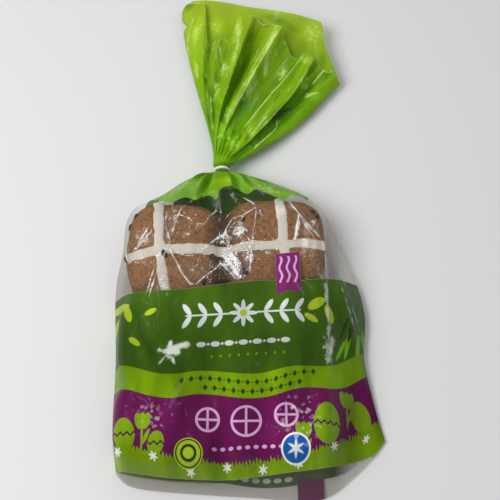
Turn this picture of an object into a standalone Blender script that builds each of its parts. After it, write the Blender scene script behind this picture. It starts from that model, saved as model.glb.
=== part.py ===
"""A tied film bag of six hot cross buns, lying on its back with the crosses up.

Units are metres. +Z is up, and +Y runs from the bag's folded bottom, past its tied neck, to its open mouth.
The origin is the middle of the pack's footprint box, on the surface that the pack lies on.
"""

from math import pi

import bmesh
import bpy
import numpy as np
from mathutils import Vector

MM = 0.001
WELD = 0.01 * MM

# The buns, baked together in two columns of three, which give the bag its shape.
# All places below are measured from the middle of the block of buns.
BUN_LENGTH = 62.5 * MM
BUN_HEIGHT = 43 * MM
BUN_SHOULDER = 0.62  # share of the height where the dome starts
BUN_SQUARENESS = 3.4  # exponent of the outline: 2 is an ellipse, more is squarer
ROWS = 3
# Each column's middle and width across the block, and how far it lies towards the neck
BUN_COLUMNS = ((-38.5 * MM, 69 * MM, 1.5 * MM), (33 * MM, 73 * MM, 5.5 * MM))

# The bag lies flat except where the buns lift it. Its front and back meet along folds, given here by the
# points that shape them, in millimetres: both sides run from the bottom's corners to the neck.
LEFT_FOLD = (
    (-75, -95), (-79, -66), (-79, -20), (-82, 34), (-78, 64), (-73, 87), (-61, 101), (-47, 111), (-34, 118),
    (-21, 123.5),
)
RIGHT_FOLD = (
    (108, -73), (101, -44), (96, -14), (98, 16), (91, 48), (77, 84), (66, 104.5), (45, 115.5), (24, 122), (9, 124.5),
)
BOTTOM_FOLD = (
    (-75, -95), (-67, -102), (-50, -105.5), (-18, -108), (16, -110), (62, -111.5), (86, -96), (108, -73),
)
FOLD_HEIGHT = 7 * MM
BOTTOM_FOLD_HEIGHT = 2.5 * MM
FOLD_THICKNESS = 2.4 * MM
FOLD_LIFT_WIDTH = 0.10  # share of the width over which the back rises from the table to a side fold
BOTTOM_LIFT_LENGTH = 0.06  # share of the body's length over which it rises to the bottom fold
BOTTOM_FOLD_REACH = 0.30  # share of the body's length over which the bottom's curve dies out
ROUND_FROM = 0.80  # share of the body's length where its section starts to turn round

# The neck, where the film is gathered into the tie
NECK = Vector((-5.75 * MM, 130 * MM, 14 * MM))
NECK_RADIUS = 4.3 * MM
NECK_SWELL = 2.6 * MM  # how far the film swells again on both sides of the tie
GROOVE_HALF = 1.8 * MM  # half the length of film that the tie holds to the neck's radius
NECK_HALF = 4.2 * MM
GATHERS = 7
GATHER_DEPTH = 0.9 * MM

# The loose end past the tie: a tube of film spread into a fan. Its outline, in millimetres, has a left and
# a right edge from the neck to the mouth, and the mouth from left to right.
FAN_LEFT_EDGE = ((-13.1, 148), (-18.5, 172), (-28.5, 210), (-38, 252), (-40.5, 275), (-37, 289))
FAN_RIGHT_EDGE = ((8, 138.5), (17, 144), (40, 161), (62, 181.5), (76, 198), (87.5, 210.5))
FAN_MOUTH = (
    (-37, 289), (-21, 286), (0, 277), (15, 274), (39, 270), (56, 268), (73, 263.5), (76, 243), (87.5, 210.5),
)
FAN_UNDERSIDE = 2.5 * MM
FAN_EDGE_HEIGHT = 7 * MM
FAN_SWELL = 12 * MM  # how far the upper film stands over its edges in the fan's middle, before its folds
# The upper film's folds: share of the way from the left edge to the right one, and millimetres over or under
# that swell. They flatten towards the mouth.
FAN_FOLDS = (
    (0, 0), (0.08, 1), (0.16, -5), (0.25, 3), (0.29, -1), (0.34, 5), (0.40, -6), (0.50, 9), (0.60, -5),
    (0.69, 4), (0.75, 0), (0.82, 7), (0.88, -6), (0.94, -2), (1, 0),
)
FOLDS_FLATTEN_FROM = 0.70

# The tie: a flat plastic band with a crimped joint on its underside
TIE_GAP = 0.33 * MM
TIE_THICKNESS = 1.0 * MM
TIE_WIDTH = 2.0 * MM
TIE_SEGMENTS = 48
TIE_SOFTENING = 0.3 * MM
CRIMP_SIZE = (4.4 * MM, 3.2 * MM, 1.7 * MM)
CRIMP_BITE = 0.65 * MM  # how far the crimped joint reaches into the band

# How finely the bag is divided
ACROSS = 36
BODY_RINGS = 30
NECK_RINGS = 6
FAN_RINGS = 14
TIGHTENING_ROUNDS = 900

SHARE = np.linspace(0, 1, ACROSS + 1)  # from the left fold to the right one
SWOLLEN = NECK_RADIUS + NECK_SWELL


def smoothstep(x):
    """0 below 0, 1 above 1, and a smooth rise between them."""
    x = np.clip(x, 0, 1)
    return x * x * (3 - 2 * x)


def along(points, count):
    """count points, evenly spaced, on a Catmull-Rom curve through the given ones, which are in millimetres."""
    knots = np.array(points, float) * MM
    knots = np.vstack([2 * knots[0] - knots[1], knots, 2 * knots[-1] - knots[-2]])
    t = np.linspace(0, 1, 24, endpoint=False)[:, None]
    fine = []
    for a, b, c, d in zip(knots, knots[1:], knots[2:], knots[3:]):
        bend = (2 * a - 5 * b + 4 * c - d) * t**2 + (3 * b - a - 3 * c + d) * t**3
        fine.append(b + ((c - a) * t + bend) / 2)
    fine = np.vstack(fine + [knots[-2:-1]])
    run = np.concatenate([[0], np.cumsum(np.linalg.norm(np.diff(fine, axis=0), axis=1))])
    wanted = np.linspace(0, run[-1], count)
    return np.column_stack([np.interp(wanted, run, column) for column in fine.T])


def bun_tops(x, y):
    """Height of the buns' upper surface over the table, and 0 beside them."""
    height = np.zeros_like(x)
    for middle, width, slip in BUN_COLUMNS:
        for row in range(ROWS):
            reach_x = np.abs(x - middle) / width * 2
            reach_y = np.abs((y - slip) / BUN_LENGTH - row + (ROWS - 1) / 2) * 2
            reach = reach_x**BUN_SQUARENESS + reach_y**BUN_SQUARENESS
            dome = BUN_HEIGHT * (BUN_SHOULDER + (1 - BUN_SHOULDER) * np.sqrt(np.clip(1 - reach, 0, 1)))
            height = np.maximum(height, np.where(reach < 1, dome, 0))
    return height


def pulled_tight(height, obstacle):
    """Film held along its border and pulled tight over an obstacle: each point takes its neighbours' mean."""
    for _ in range(TIGHTENING_ROUNDS):
        mean = (height[2:, 1:-1] + height[:-2, 1:-1] + height[1:-1, 2:] + height[1:-1, :-2]) / 4
        height[1:-1, 1:-1] = np.maximum(obstacle[1:-1, 1:-1], mean)
    return height


def round_section(radius):
    """How far a round section's points lie beside and above its middle, from its left to its right."""
    return -radius * np.cos(pi * SHARE), radius * np.sin(pi * SHARE)


def neck_corner(side, end):
    """Where a side fold meets the neck, in millimetres: side and end are -1 or 1, to -X or +X, to -Y or +Y."""
    return (NECK.x + side * SWOLLEN) / MM, (NECK.y + end * NECK_HALF) / MM


def body_layers():
    """The front and the back of the bag from its bottom fold to the neck, as two grids of points."""
    left = along([*LEFT_FOLD, neck_corner(-1, -1)], BODY_RINGS + 1)[:, None]
    right = along([*RIGHT_FOLD, neck_corner(1, -1)], BODY_RINGS + 1)[:, None]
    bottom = along(BOTTOM_FOLD, ACROSS + 1)
    length = np.linspace(0, 1, BODY_RINGS + 1)[:, None]

    # The plan: straight rows from fold to fold, bent to follow the bottom fold
    plan = left + (right - left) * SHARE[:, None]
    plan = plan + (bottom - plan[0]) * (1 - smoothstep(length / BOTTOM_FOLD_REACH))[:, :, None]
    x, y = plan[:, :, 0], plan[:, :, 1]

    # Towards the neck the flat rows turn into half rounds
    rounding = smoothstep((length - ROUND_FROM) / (1 - ROUND_FROM))
    beside, above = round_section(SWOLLEN)
    middle, half_width = (x[:, :1] + x[:, -1:]) / 2, (x[:, -1:] - x[:, :1]) / 2
    x = x + (middle + beside / SWOLLEN * half_width - x) * rounding
    y = y + (y.mean(axis=1, keepdims=True) - y) * rounding

    # The front: held by the folds and by the neck, and pulled tight over the buns
    fold = BOTTOM_FOLD_HEIGHT + (FOLD_HEIGHT - BOTTOM_FOLD_HEIGHT) * smoothstep(length / BOTTOM_FOLD_REACH)
    fold = fold + (NECK.z - FOLD_HEIGHT) * smoothstep((length - 0.72) / 0.28)
    front = np.repeat(fold + FOLD_THICKNESS / 2, ACROSS + 1, axis=1)
    front[-1] = NECK.z + above
    front[1:-1, 1:-1] = BUN_HEIGHT
    front = pulled_tight(front, bun_tops(x, y))
    gathers = np.sin(2 * pi * GATHERS * SHARE) * np.sin(pi * SHARE)
    front += GATHER_DEPTH * gathers * smoothstep((length - 0.70) / 0.2) * smoothstep((1 - length) / 0.08)

    # The back: flat on the table, and lifted to the folds and to the neck
    to_side = np.minimum(SHARE, 1 - SHARE) / FOLD_LIFT_WIDTH
    lift = 1 - smoothstep(np.minimum(to_side, length / BOTTOM_LIFT_LENGTH))
    back = (fold - FOLD_THICKNESS / 2) * lift * (1 - rounding) + (NECK.z - above) * rounding
    return np.dstack([x, y, front]), np.dstack([x, y, back])


def neck_layers():
    """The gathered film through the tie: held in by it, and swollen on both sides of it."""
    front, back = [], []
    for offset in np.linspace(-NECK_HALF, NECK_HALF, NECK_RINGS)[1:]:
        swell = smoothstep((abs(offset) - GROOVE_HALF) / (NECK_HALF - GROOVE_HALF))
        beside, above = round_section(NECK_RADIUS + NECK_SWELL * swell)
        y = np.full_like(SHARE, NECK.y + offset)
        front.append(np.column_stack([NECK.x + beside, y, NECK.z + above]))
        back.append(np.column_stack([NECK.x + beside, y, NECK.z - above]))
    return np.array(front), np.array(back)


def fan_layers():
    """The loose end: the upper and the lower film of a tube that spreads from the neck to its mouth."""
    left = along([neck_corner(-1, 1), *FAN_LEFT_EDGE], FAN_RINGS + 1)
    right = along([neck_corner(1, 1), *FAN_RIGHT_EDGE], FAN_RINGS + 1)
    mouth = along(FAN_MOUTH, ACROSS + 1)
    beside, above = round_section(SWOLLEN)
    start = np.column_stack([NECK.x + beside, np.full_like(SHARE, NECK.y + NECK_HALF)])
    folds = np.interp(SHARE, *zip(*FAN_FOLDS)) * MM
    inside = np.sqrt(np.sin(pi * SHARE))
    front, back = [], []
    for ring in range(1, FAN_RINGS + 1):
        out = ring / FAN_RINGS
        plan = start + (mouth - start) * out
        plan = plan + np.outer(1 - SHARE, left[ring] - plan[0]) + np.outer(SHARE, right[ring] - plan[-1])
        spread, narrow = smoothstep(1.6 * out), (1 - out) ** 3
        edge = NECK.z + (FAN_EDGE_HEIGHT - NECK.z) * spread
        flattened = 1 - 0.75 * smoothstep((out - FOLDS_FLATTEN_FROM) / (1 - FOLDS_FLATTEN_FROM))
        rise = (FAN_SWELL + folds * flattened) * inside * spread
        fall = (FAN_EDGE_HEIGHT - FAN_UNDERSIDE - FOLD_THICKNESS / 2) * inside * spread
        front.append(np.column_stack([plan, edge + FOLD_THICKNESS / 2 + rise + above * narrow]))
        back.append(np.column_stack([plan, edge - FOLD_THICKNESS / 2 - fall - above * narrow]))
    return np.array(front), np.array(back)


def finished(name, mesh):
    """Turns a bmesh into a smooth-shaded object in the scene."""
    bmesh.ops.remove_doubles(mesh, verts=mesh.verts, dist=WELD)
    bmesh.ops.recalc_face_normals(mesh, faces=mesh.faces)
    data = bpy.data.meshes.new(name)
    mesh.to_mesh(data)
    mesh.free()
    data.shade_smooth()
    data.set_sharp_from_angle(angle=np.radians(50))
    thing = bpy.data.objects.new(name, data)
    bpy.context.scene.collection.objects.link(thing)
    return thing


def plastic(name, colour, roughness):
    """A Principled material without metal."""
    material = bpy.data.materials.new(name)
    material.use_nodes = True
    shader = material.node_tree.nodes["Principled BSDF"]
    shader.inputs["Base Color"].default_value = (*colour, 1)
    shader.inputs["Roughness"].default_value = roughness
    shader.inputs["Metallic"].default_value = 0
    return material


def solid_between(name, front, back):
    """A closed solid between two grids of points that share their plan, walled all round."""
    mesh = bmesh.new()
    upper = [[mesh.verts.new(point) for point in ring] for ring in front]
    lower = [[mesh.verts.new(point) for point in ring] for ring in back]
    last = len(upper) - 1
    for i in range(last):
        for j in range(ACROSS):
            mesh.faces.new((upper[i][j], upper[i][j + 1], upper[i + 1][j + 1], upper[i + 1][j]))
            mesh.faces.new((lower[i][j], lower[i + 1][j], lower[i + 1][j + 1], lower[i][j + 1]))
        for j in (0, ACROSS):
            mesh.faces.new((upper[i][j], upper[i + 1][j], lower[i + 1][j], lower[i][j]))
    for i in (0, last):
        for j in range(ACROSS):
            mesh.faces.new((upper[i][j], upper[i][j + 1], lower[i][j + 1], lower[i][j]))
    return finished(name, mesh)


def make_bag():
    """The whole bag with what it holds, as one solid: body, neck and loose end."""
    fronts, backs = zip(body_layers(), neck_layers(), fan_layers())
    bag = solid_between("bag", np.concatenate(fronts), np.concatenate(backs))
    bag.data.materials.append(plastic("printed film", (0.16, 0.30, 0.02), 0.25))
    return bag


def make_crimp():
    """The block of the tie's crimped joint, which is only a guide for the tie's Boolean."""
    mesh = bmesh.new()
    bmesh.ops.create_cube(mesh, size=1)
    bmesh.ops.scale(mesh, verts=mesh.verts, vec=CRIMP_SIZE)
    bmesh.ops.bevel(mesh, geom=mesh.edges[:], offset=TIE_SOFTENING, segments=2, affect="EDGES")
    crimp = finished("crimp_guide", mesh)
    crimp.hide_render = True
    crimp.display_type = "WIRE"
    return crimp


def make_tie():
    """The band round the neck: a flat section spun about the neck's line, with its crimped joint below."""
    inner = NECK_RADIUS + TIE_GAP
    outer = inner + TIE_THICKNESS
    half = TIE_WIDTH / 2
    corners = (
        (inner, -half),
        (outer - TIE_SOFTENING, -half),
        (outer, -half + TIE_SOFTENING),
        (outer, half - TIE_SOFTENING),
        (outer - TIE_SOFTENING, half),
        (inner, half),
    )
    mesh = bmesh.new()
    profile = [mesh.verts.new((radius, offset, 0)) for radius, offset in corners]
    edges = [mesh.edges.new(pair) for pair in zip(profile, profile[1:] + profile[:1])]
    bmesh.ops.spin(mesh, geom=profile + edges, axis=(0, 1, 0), angle=2 * pi, steps=TIE_SEGMENTS)
    tie = finished("tie", mesh)
    tie.location = NECK
    tie.data.materials.append(plastic("white tie", (0.82, 0.84, 0.80), 0.35))

    crimp = make_crimp()
    crimp.location = NECK - Vector((0, 0, outer + CRIMP_SIZE[2] / 2 - CRIMP_BITE))
    union = tie.modifiers.new("crimped joint", "BOOLEAN")
    union.operation = "UNION"
    union.object = crimp
    return tie


def centre_on_footprint(pieces):
    """Moves everything so that the origin is the middle of the footprint box, on the table."""
    bpy.context.view_layer.update()
    corners = np.array([piece.matrix_world @ Vector(corner) for piece in pieces for corner in piece.bound_box])
    low, high = corners.min(axis=0), corners.max(axis=0)
    for thing in bpy.context.scene.objects:
        thing.location -= Vector(((low[0] + high[0]) / 2, (low[1] + high[1]) / 2, low[2]))


for old in list(bpy.data.objects):
    bpy.data.objects.remove(old, do_unlink=True)
centre_on_footprint([make_bag(), make_tie()])
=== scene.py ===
"""The looks of a tied bag of hot cross buns: printed film, loose end, crusts, crosses, fruit and tie.

Lengths are in millimetres and places are measured from the middle of the block of buns, on the table, unless
a name or a comment says otherwise. The frame's own metres come in only where a mesh is finished.
"""

from math import cos, pi, radians, sin

import bmesh
import bpy
import numpy as np
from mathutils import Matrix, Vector, noise


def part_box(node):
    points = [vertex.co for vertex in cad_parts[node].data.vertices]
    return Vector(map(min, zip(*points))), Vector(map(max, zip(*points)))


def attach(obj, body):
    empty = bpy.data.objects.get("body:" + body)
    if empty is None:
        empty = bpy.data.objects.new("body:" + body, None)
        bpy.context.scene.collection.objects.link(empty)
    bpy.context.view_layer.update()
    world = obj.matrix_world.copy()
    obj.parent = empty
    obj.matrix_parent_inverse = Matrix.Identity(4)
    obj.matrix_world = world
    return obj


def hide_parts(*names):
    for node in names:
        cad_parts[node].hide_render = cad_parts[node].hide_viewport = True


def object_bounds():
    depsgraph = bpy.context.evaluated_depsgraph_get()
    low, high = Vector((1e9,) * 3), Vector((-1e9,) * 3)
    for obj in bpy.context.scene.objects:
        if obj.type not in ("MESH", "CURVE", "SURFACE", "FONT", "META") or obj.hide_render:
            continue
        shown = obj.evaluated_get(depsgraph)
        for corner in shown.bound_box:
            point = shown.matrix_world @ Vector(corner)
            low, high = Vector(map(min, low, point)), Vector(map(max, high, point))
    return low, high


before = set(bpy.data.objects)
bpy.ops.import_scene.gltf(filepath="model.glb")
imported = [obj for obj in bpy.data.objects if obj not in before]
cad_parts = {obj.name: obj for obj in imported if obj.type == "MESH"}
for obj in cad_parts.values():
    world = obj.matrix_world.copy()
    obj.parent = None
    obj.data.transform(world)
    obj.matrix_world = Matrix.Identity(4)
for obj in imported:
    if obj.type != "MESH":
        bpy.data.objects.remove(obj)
CAD_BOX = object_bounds()

MM = 0.001
DOWN = (0, 0, -1)
TIE_LOW, TIE_HIGH = (np.array(corner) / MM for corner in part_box("tie"))

# The buns
BUN_HEIGHT = 43
BUN_SHOULDER = 0.62
BUN_SQUARENESS = 3.7
# Each column's middle and width across the block, and how far it lies towards the neck
BUN_COLUMNS = ((-38.5, 69, -1), (33, 73, 2.5))
# Each row's middle and length along the block
BUN_ROWS = ((-63.5, 56), (-6, 59), (60, 71))
# Boxes of dough that fill the grooves between the buns, as their lowest and highest corners
JOINS = (
    ((-62, -80, 1), (58, 84, 22)),
    ((-15, -78, 1), (7, -46, 28)), ((-15, -28, 1), (7, 17, 30)), ((-14, 35, 1), (6, 86, 31)),
)
# Where the groove between the two columns runs
GROOVE_AT = -3.5
PASTE_HEIGHT = 2
CRUST_TOP = BUN_HEIGHT - PASTE_HEIGHT

# The folds where the bag's front and back meet, from the bottom's corners to the neck
LEFT_FOLD = (
    (-75, -95), (-79, -66), (-79, -20), (-82, 34), (-78, 64), (-73, 87), (-61, 101), (-47, 111),
    (-34, 118), (-21, 123.5),
)
RIGHT_FOLD = (
    (108, -73), (101, -44), (96, -14), (98, 16), (91, 48), (77, 84), (66, 104.5), (45, 115.5), (24, 122),
    (9, 124.5),
)
BOTTOM_FOLD = (
    (-75, -95), (-67, -102), (-50, -105.5), (-18, -108), (16, -110), (62, -111.5), (86, -96), (108, -73),
)
FOLD_HEIGHT = 7
BOTTOM_FOLD_HEIGHT = 2.5
BOTTOM_FOLD_REACH = 0.30
FOLD_LIFT_WIDTH = 0.10
BOTTOM_LIFT_LENGTH = 0.06
# Shares of the bag's length from which its front starts to lift, and to round, towards the neck
LIFT_FROM = 0.72
ROUND_FROM = 0.80
# How far the film keeps from the buns' sides
FILM_SPARE = 2.0
# The lowest that its wrinkles may press it, as a share of the buns' height
PRESSED_TO = 0.99

# The neck and the loose end
NECK = np.array((-5.75, 130, 14))
NECK_RADIUS = 4.3
NECK_SWELL = 2.6
GROOVE_HALF = 1.8
NECK_HALF = 4.2
FAN_LEFT_EDGE = (
    (-13.1, 148), (-18.5, 172), (-28.5, 210), (-38, 252), (-41, 276), (-40.2, 283.5), (-37, 289.3),
)
FAN_RIGHT_EDGE = (
    (8, 138.5), (17, 144), (40, 161), (62, 181.5), (76, 198), (87.5, 210.5),
)
FAN_MOUTH = (
    (-37, 289.3), (-21, 288.5), (0, 284), (15, 279), (39, 272.5), (56, 268.5), (71, 264.6), (74.4, 262),
    (75.2, 256), (76, 243), (87.5, 210.5),
)
FAN_EDGE_HEIGHT = 7
FAN_UNDERSIDE = 1.5
# A nick in the left edge near the mouth
EDGE_NICK, EDGE_NICK_AT = 4.5, 266
# From here to the mouth the lower film shows too, and gets the same painted glitter and sheen as the upper
# one
LOWER_FILM_SHOWS_FROM = 190
FAN_SWELL = 12
RIM_RISE = 6
# The upper film's folds: share of the way from the left edge to the right one, millimetres over or under the
# fan's swell, and how far the fold leans to the right
FAN_FOLDS = (
    (0, 0, 0), (0.06, 1.5, 0), (0.13, 2, 0), (0.165, -3, 0), (0.185, 1, 0), (0.25, 3, 0), (0.30, 0.5, 0),
    (0.345, 4, 1), (0.385, 6.5, 2), (0.405, 0, 0), (0.44, -6, -1), (0.48, 2, 0), (0.512, 6.5, 1),
    (0.535, 9, 2), (0.56, 0, 0), (0.62, -3, 0), (0.675, -3.5, 0), (0.702, 4.5, 1), (0.75, 3, 1),
    (0.785, 5, 3), (0.805, 7, 5), (0.84, -4, -1), (0.885, -6, -2), (0.94, -2, 0), (1, 0, 0),
)
# All the folds are deeper than their table by this factor
FOLD_DEPTH = 1.25
# How far the folds drift to the left on their way down to the neck
FAN_DRIFT = 1.65
FOLDS_FLATTEN_FROM = 0.70
# Small pleats all round the neck, which run out over the loose end
PLEAT_HEIGHT = 1.1
# How far the upper film stops short of the mouth, with the share of the way across first
UPPER_RIM = (
    (0, 3), (0.11, 7), (0.125, 12), (0.133, 30), (0.14, 52), (0.147, 56), (0.155, 50), (0.165, 46),
    (0.185, 42), (0.21, 40), (0.24, 39), (0.266, 39), (0.275, 36), (0.284, 33), (0.292, 26), (0.297, 19),
    (0.31, 16), (0.34, 15), (0.378, 13.5), (0.40, 15), (0.47, 17), (0.526, 20), (0.555, 26), (0.585, 30),
    (0.632, 38), (0.67, 39), (0.71, 34), (0.752, 27), (0.816, 17), (0.838, 14), (0.88, 12), (0.914, 9),
    (0.95, 2), (1, 0),
)
# The gathers that spread from the neck over the front: share of the way across, and how far they stand out
GATHERS = (
    (0, 0), (0.08, 0.8), (0.14, -0.7), (0.23, 1.1), (0.29, -0.8), (0.35, 0.9), (0.395, -1.5), (0.43, 1.5),
    (0.565, 1.4), (0.61, -1.3), (0.67, 0.9), (0.72, -0.7), (0.78, 0.8), (0.84, -0.8), (0.90, 0.8),
    (0.95, -0.3), (1, 0),
)
# Painted shade and light on the gathers: share of the way across, and -1 for painted shade to 1 for painted
# light
GATHER_LIGHT_AND_SHADE = (
    (0, 0.2), (0.12, -0.2), (0.2, 0.4), (0.27, -0.2), (0.32, 0.3), (0.39, -0.3), (0.415, -0.5),
    (0.43, 0.7), (0.56, 0.7), (0.575, -0.5), (0.61, -0.2), (0.66, 0.3), (0.71, -0.3), (0.77, 0.3),
    (0.85, -0.3), (0.91, 0.4), (1, 0.1),
)
# The same painted shade and light for the loose end's folds
FAN_LIGHT_AND_SHADE = (
    (0, 0.1), (0.05, 0.2), (0.12, 0.1), (0.155, -0.1), (0.168, -0.6), (0.19, -0.15), (0.25, 0.05),
    (0.30, -0.2), (0.335, 0.35), (0.37, 0.5), (0.388, 0.45), (0.40, -0.1), (0.44, -0.15), (0.475, -0.1),
    (0.50, 0.4), (0.53, 0.6), (0.543, 0.4), (0.556, -0.1), (0.60, 0.1), (0.66, -0.1), (0.692, -0.2),
    (0.702, 0.6), (0.745, 0.75), (0.79, 0.65), (0.808, 0.7), (0.82, -0.4), (0.885, -0.75), (0.92, -0.2),
    (0.95, 0.25), (1, 0.4),
)
# How much the loose end's rim glints, and the shares of the way across where a fold does, and how much
RIM_GLINT = 0.55
FOLD_GLINT_WIDTH = 0.0055
FAN_GLINTS = (
    (0.172, 0.35), (0.388, 0.35), (0.510, 0.6), (0.534, 0.65), (0.701, 0.85), (0.806, 0.65),
)

# How finely the film is divided
ACROSS_FRONT = 232
ACROSS_BACK = 36
BODY_RINGS = 240
NECK_RINGS = 12
FAN_RINGS = 90

SWOLLEN = NECK_RADIUS + NECK_SWELL
# From the frame's origin to the middle of the block of buns, in the frame
BLOCK = np.array(((TIE_LOW[0] + TIE_HIGH[0]) / 2 - NECK[0], (TIE_LOW[1] + TIE_HIGH[1]) / 2 - NECK[1], 0))


# ---------------------------------------------------------------- small helpers

def smoothstep(x):
    """0 below 0, 1 above 1, and a smooth rise between them."""
    x = np.clip(x, 0, 1)
    return x * x * (3 - 2 * x)


def along(points, count):
    """count points, evenly spaced, on a Catmull-Rom curve through the given ones."""
    knots = np.array(points, float)
    knots = np.vstack([2 * knots[0] - knots[1], knots, 2 * knots[-1] - knots[-2]])
    t = np.linspace(0, 1, 24, endpoint=False)[:, None]
    fine = []
    for a, b, c, d in zip(knots, knots[1:], knots[2:], knots[3:]):
        bend = (2 * a - 5 * b + 4 * c - d) * t**2 + (3 * b - a - 3 * c + d) * t**3
        fine.append(b + ((c - a) * t + bend) / 2)
    fine = np.vstack(fine + [knots[-2:-1]])
    run = np.concatenate([[0], np.cumsum(np.linalg.norm(np.diff(fine, axis=0), axis=1))])
    wanted = np.linspace(0, run[-1], count)
    return np.column_stack([np.interp(wanted, run, column) for column in fine.T])


def profile(knots, share):
    """A value that changes with share, through the given pairs of share and value, in straight pieces."""
    places, values = zip(*knots)
    return np.interp(share, places, values)


def folded(turns):
    """A wave of period 1 with straight flanks and narrow, softened ridges and valleys, from -1 to 1."""
    return np.arcsin(0.96 * np.sin(2 * pi * turns)) / np.arcsin(0.96)


def heading(turn, towards=-1):
    """A millimetre's step along the bag, to its bottom for -1 and its mouth for 1, turned by an angle."""
    return np.array((sin(turn), towards * cos(turn)))


def placed(name, data):
    """A new object in the scene that shows the data."""
    thing = bpy.data.objects.new(name, data)
    bpy.context.scene.collection.objects.link(thing)
    return thing


def make_mesh(name, points, edges=(), faces=()):
    """A smooth-shaded object in the frame's metres, from points in the block's millimetres."""
    data = bpy.data.meshes.new(name)
    data.from_pydata([tuple(point) for point in (points + BLOCK) * MM], edges, faces)
    data.update()
    data.shade_smooth()
    return placed(name, data)


def ring_faces(count, around, first=0):
    """The four-sided faces between count rings of points, each closed on itself, from a first point on."""
    faces = []
    for i in range(count - 1):
        for j in range(around):
            a, b = first + i * around + j, first + i * around + (j + 1) % around
            faces.append((a, b, b + around, a + around))
    return faces


def store(data, name, *columns):
    """Keeps three numbers for each of a mesh's points, under a name that its material reads."""
    attribute = data.attributes.new(name, "FLOAT_VECTOR", "POINT")
    attribute.data.foreach_set("vector", np.column_stack(columns).astype(np.float32).ravel())


def applied(thing):
    """Turns an object with its modifiers into a plain mesh object of the same name, with no modifiers."""
    bpy.context.view_layer.update()
    evaluated = thing.evaluated_get(bpy.context.evaluated_depsgraph_get())
    data = bpy.data.meshes.new_from_object(evaluated)
    name = thing.name
    bpy.data.objects.remove(thing, do_unlink=True)
    data.name = name
    return placed(name, data)


def skinned(thing, voxel, rounds):
    """The object with its parts grown together into one skin of small squares, softened in some rounds."""
    remesh = thing.modifiers.new("one skin", "REMESH")
    remesh.mode, remesh.voxel_size = "VOXEL", voxel * MM
    smooth = thing.modifiers.new("soften", "SMOOTH")
    smooth.factor, smooth.iterations = 0.5, rounds
    return applied(thing)


# ---------------------------------------------------------------- materials

class Value:
    """A number or a vector that changes over a surface. Arithmetic on it adds the Math nodes."""

    def __init__(self, finish, socket):
        self.finish, self.socket = finish, socket

    def __add__(self, other):
        return self.finish.maths("ADD", self, other)

    def __sub__(self, other):
        return self.finish.maths("SUBTRACT", self, other)

    def __rsub__(self, other):
        return self.finish.maths("SUBTRACT", other, self)

    def __mul__(self, other):
        return self.finish.maths("MULTIPLY", self, other)

    def __truediv__(self, other):
        return self.finish.maths("DIVIDE", self, other)

    def __abs__(self):
        return self.finish.maths("ABSOLUTE", self)

    __radd__ = __add__
    __rmul__ = __mul__


class Finish:
    """A material in the making."""

    def __init__(self, name):
        self.material = bpy.data.materials.new(name)
        self.material.use_nodes = True
        self.tree = self.material.node_tree
        self.tree.nodes.clear()

    def add(self, kind, settings=None, output=0, **sockets):
        """Adds a node. settings are its own, or the points of its curve; sockets take a value or a Value."""
        node = self.tree.nodes.new("ShaderNode" + kind)
        for name, value in (settings or {}).items():
            if name == "points":
                self.set_points(node, value)
            else:
                setattr(node, name, value)
        for name, value in sockets.items():
            place = int(name[1:]) if name[0] == "_" else name.replace("_", " ")
            socket = node.inputs[place]
            if isinstance(value, Value):
                self.tree.links.new(value.socket, socket)
            else:
                socket.default_value = value
        return Value(self, node.outputs[output])

    @staticmethod
    def set_points(node, points):
        """Leads a curve node's line, which has two points, through the given ones."""
        curve = node.mapping.curves[0]
        for _ in points[2:]:
            curve.points.new(0, 0)
        for handle, point in zip(curve.points, points):
            handle.location = point
        node.mapping.update()

    def maths(self, operation, a, b=0.0, clamp=False):
        """A Math node on two numbers, held between 0 and 1 where clamp is set."""
        return self.add("Math", {"operation": operation, "use_clamp": clamp}, _0=a, _1=b)

    def clamped(self, value, plus=0.0):
        """The value and what is added to it, held between 0 and 1."""
        return self.maths("ADD", plus, value, clamp=True)

    def vector(self, operation, a, b=(0, 0, 0), output=0):
        """A Vector Math node on two vectors. Its output 1 is a length or a distance."""
        return self.add("VectorMath", {"operation": operation}, output, _0=a, _1=b)

    def larger(self, *values):
        """The largest of the values at each place."""
        result = values[0]
        for value in values[1:]:
            result = self.maths("MAXIMUM", result, value)
        return result

    def smaller(self, a, b):
        """The smaller of two values at each place."""
        return self.maths("MINIMUM", a, b)

    def inside(self, distance, softness=0.35):
        """1 where a distance is positive, 0 where it is negative, softened over a small width."""
        return self.maths("ADD", distance / softness, 0.5, clamp=True)

    def mix(self, mask, under, over):
        """The colour over where the mask is 1, and the colour under where it is 0."""
        return self.add("Mix", {"data_type": "RGBA"}, 2, _0=mask, _6=under, _7=over)

    def shaded(self, colour, amount):
        """The colour multiplied by an amount, or by another colour."""
        settings = {"data_type": "RGBA", "blend_type": "MULTIPLY"}
        return self.add("Mix", settings, 2, _0=1.0, _6=colour, _7=amount)

    def parts(self, vector):
        """A vector's three numbers."""
        node = self.tree.nodes.new("ShaderNodeSeparateXYZ")
        self.tree.links.new(vector.socket, node.inputs[0])
        return [Value(self, output) for output in node.outputs]

    def noise(self, place, scale, detail=2.0, roughness=0.5):
        """Cloudy noise from 0 to 1, and mostly near 0.5."""
        return self.add("TexNoise", None, 0, Vector=place, Scale=scale, Detail=detail, Roughness=roughness)

    def principled(self, **sockets):
        """The shader of a solid surface."""
        return self.add("BsdfPrincipled", None, 0, **sockets)

    def bump(self, height, strength, distance):
        """A normal from a height in millimetres."""
        return self.add("Bump", None, 0, Height=height, Strength=strength, Distance=distance * MM)

    def show(self, shader):
        """Ends the material with its shader, and returns it."""
        output = self.tree.nodes.new("ShaderNodeOutputMaterial")
        self.tree.links.new(shader.socket, output.inputs["Surface"])
        return self.material


def srgb(red, green, blue):
    """A colour from 0 to 255 a channel, as the shaders' linear numbers."""
    shares = [channel / 255 for channel in (red, green, blue)]
    linear = [share / 12.92 if share <= 0.04 else ((share + 0.055) / 1.055) ** 2.4 for share in shares]
    return (*linear, 1)


# ---------------------------------------------------------------- the film's shape

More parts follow.
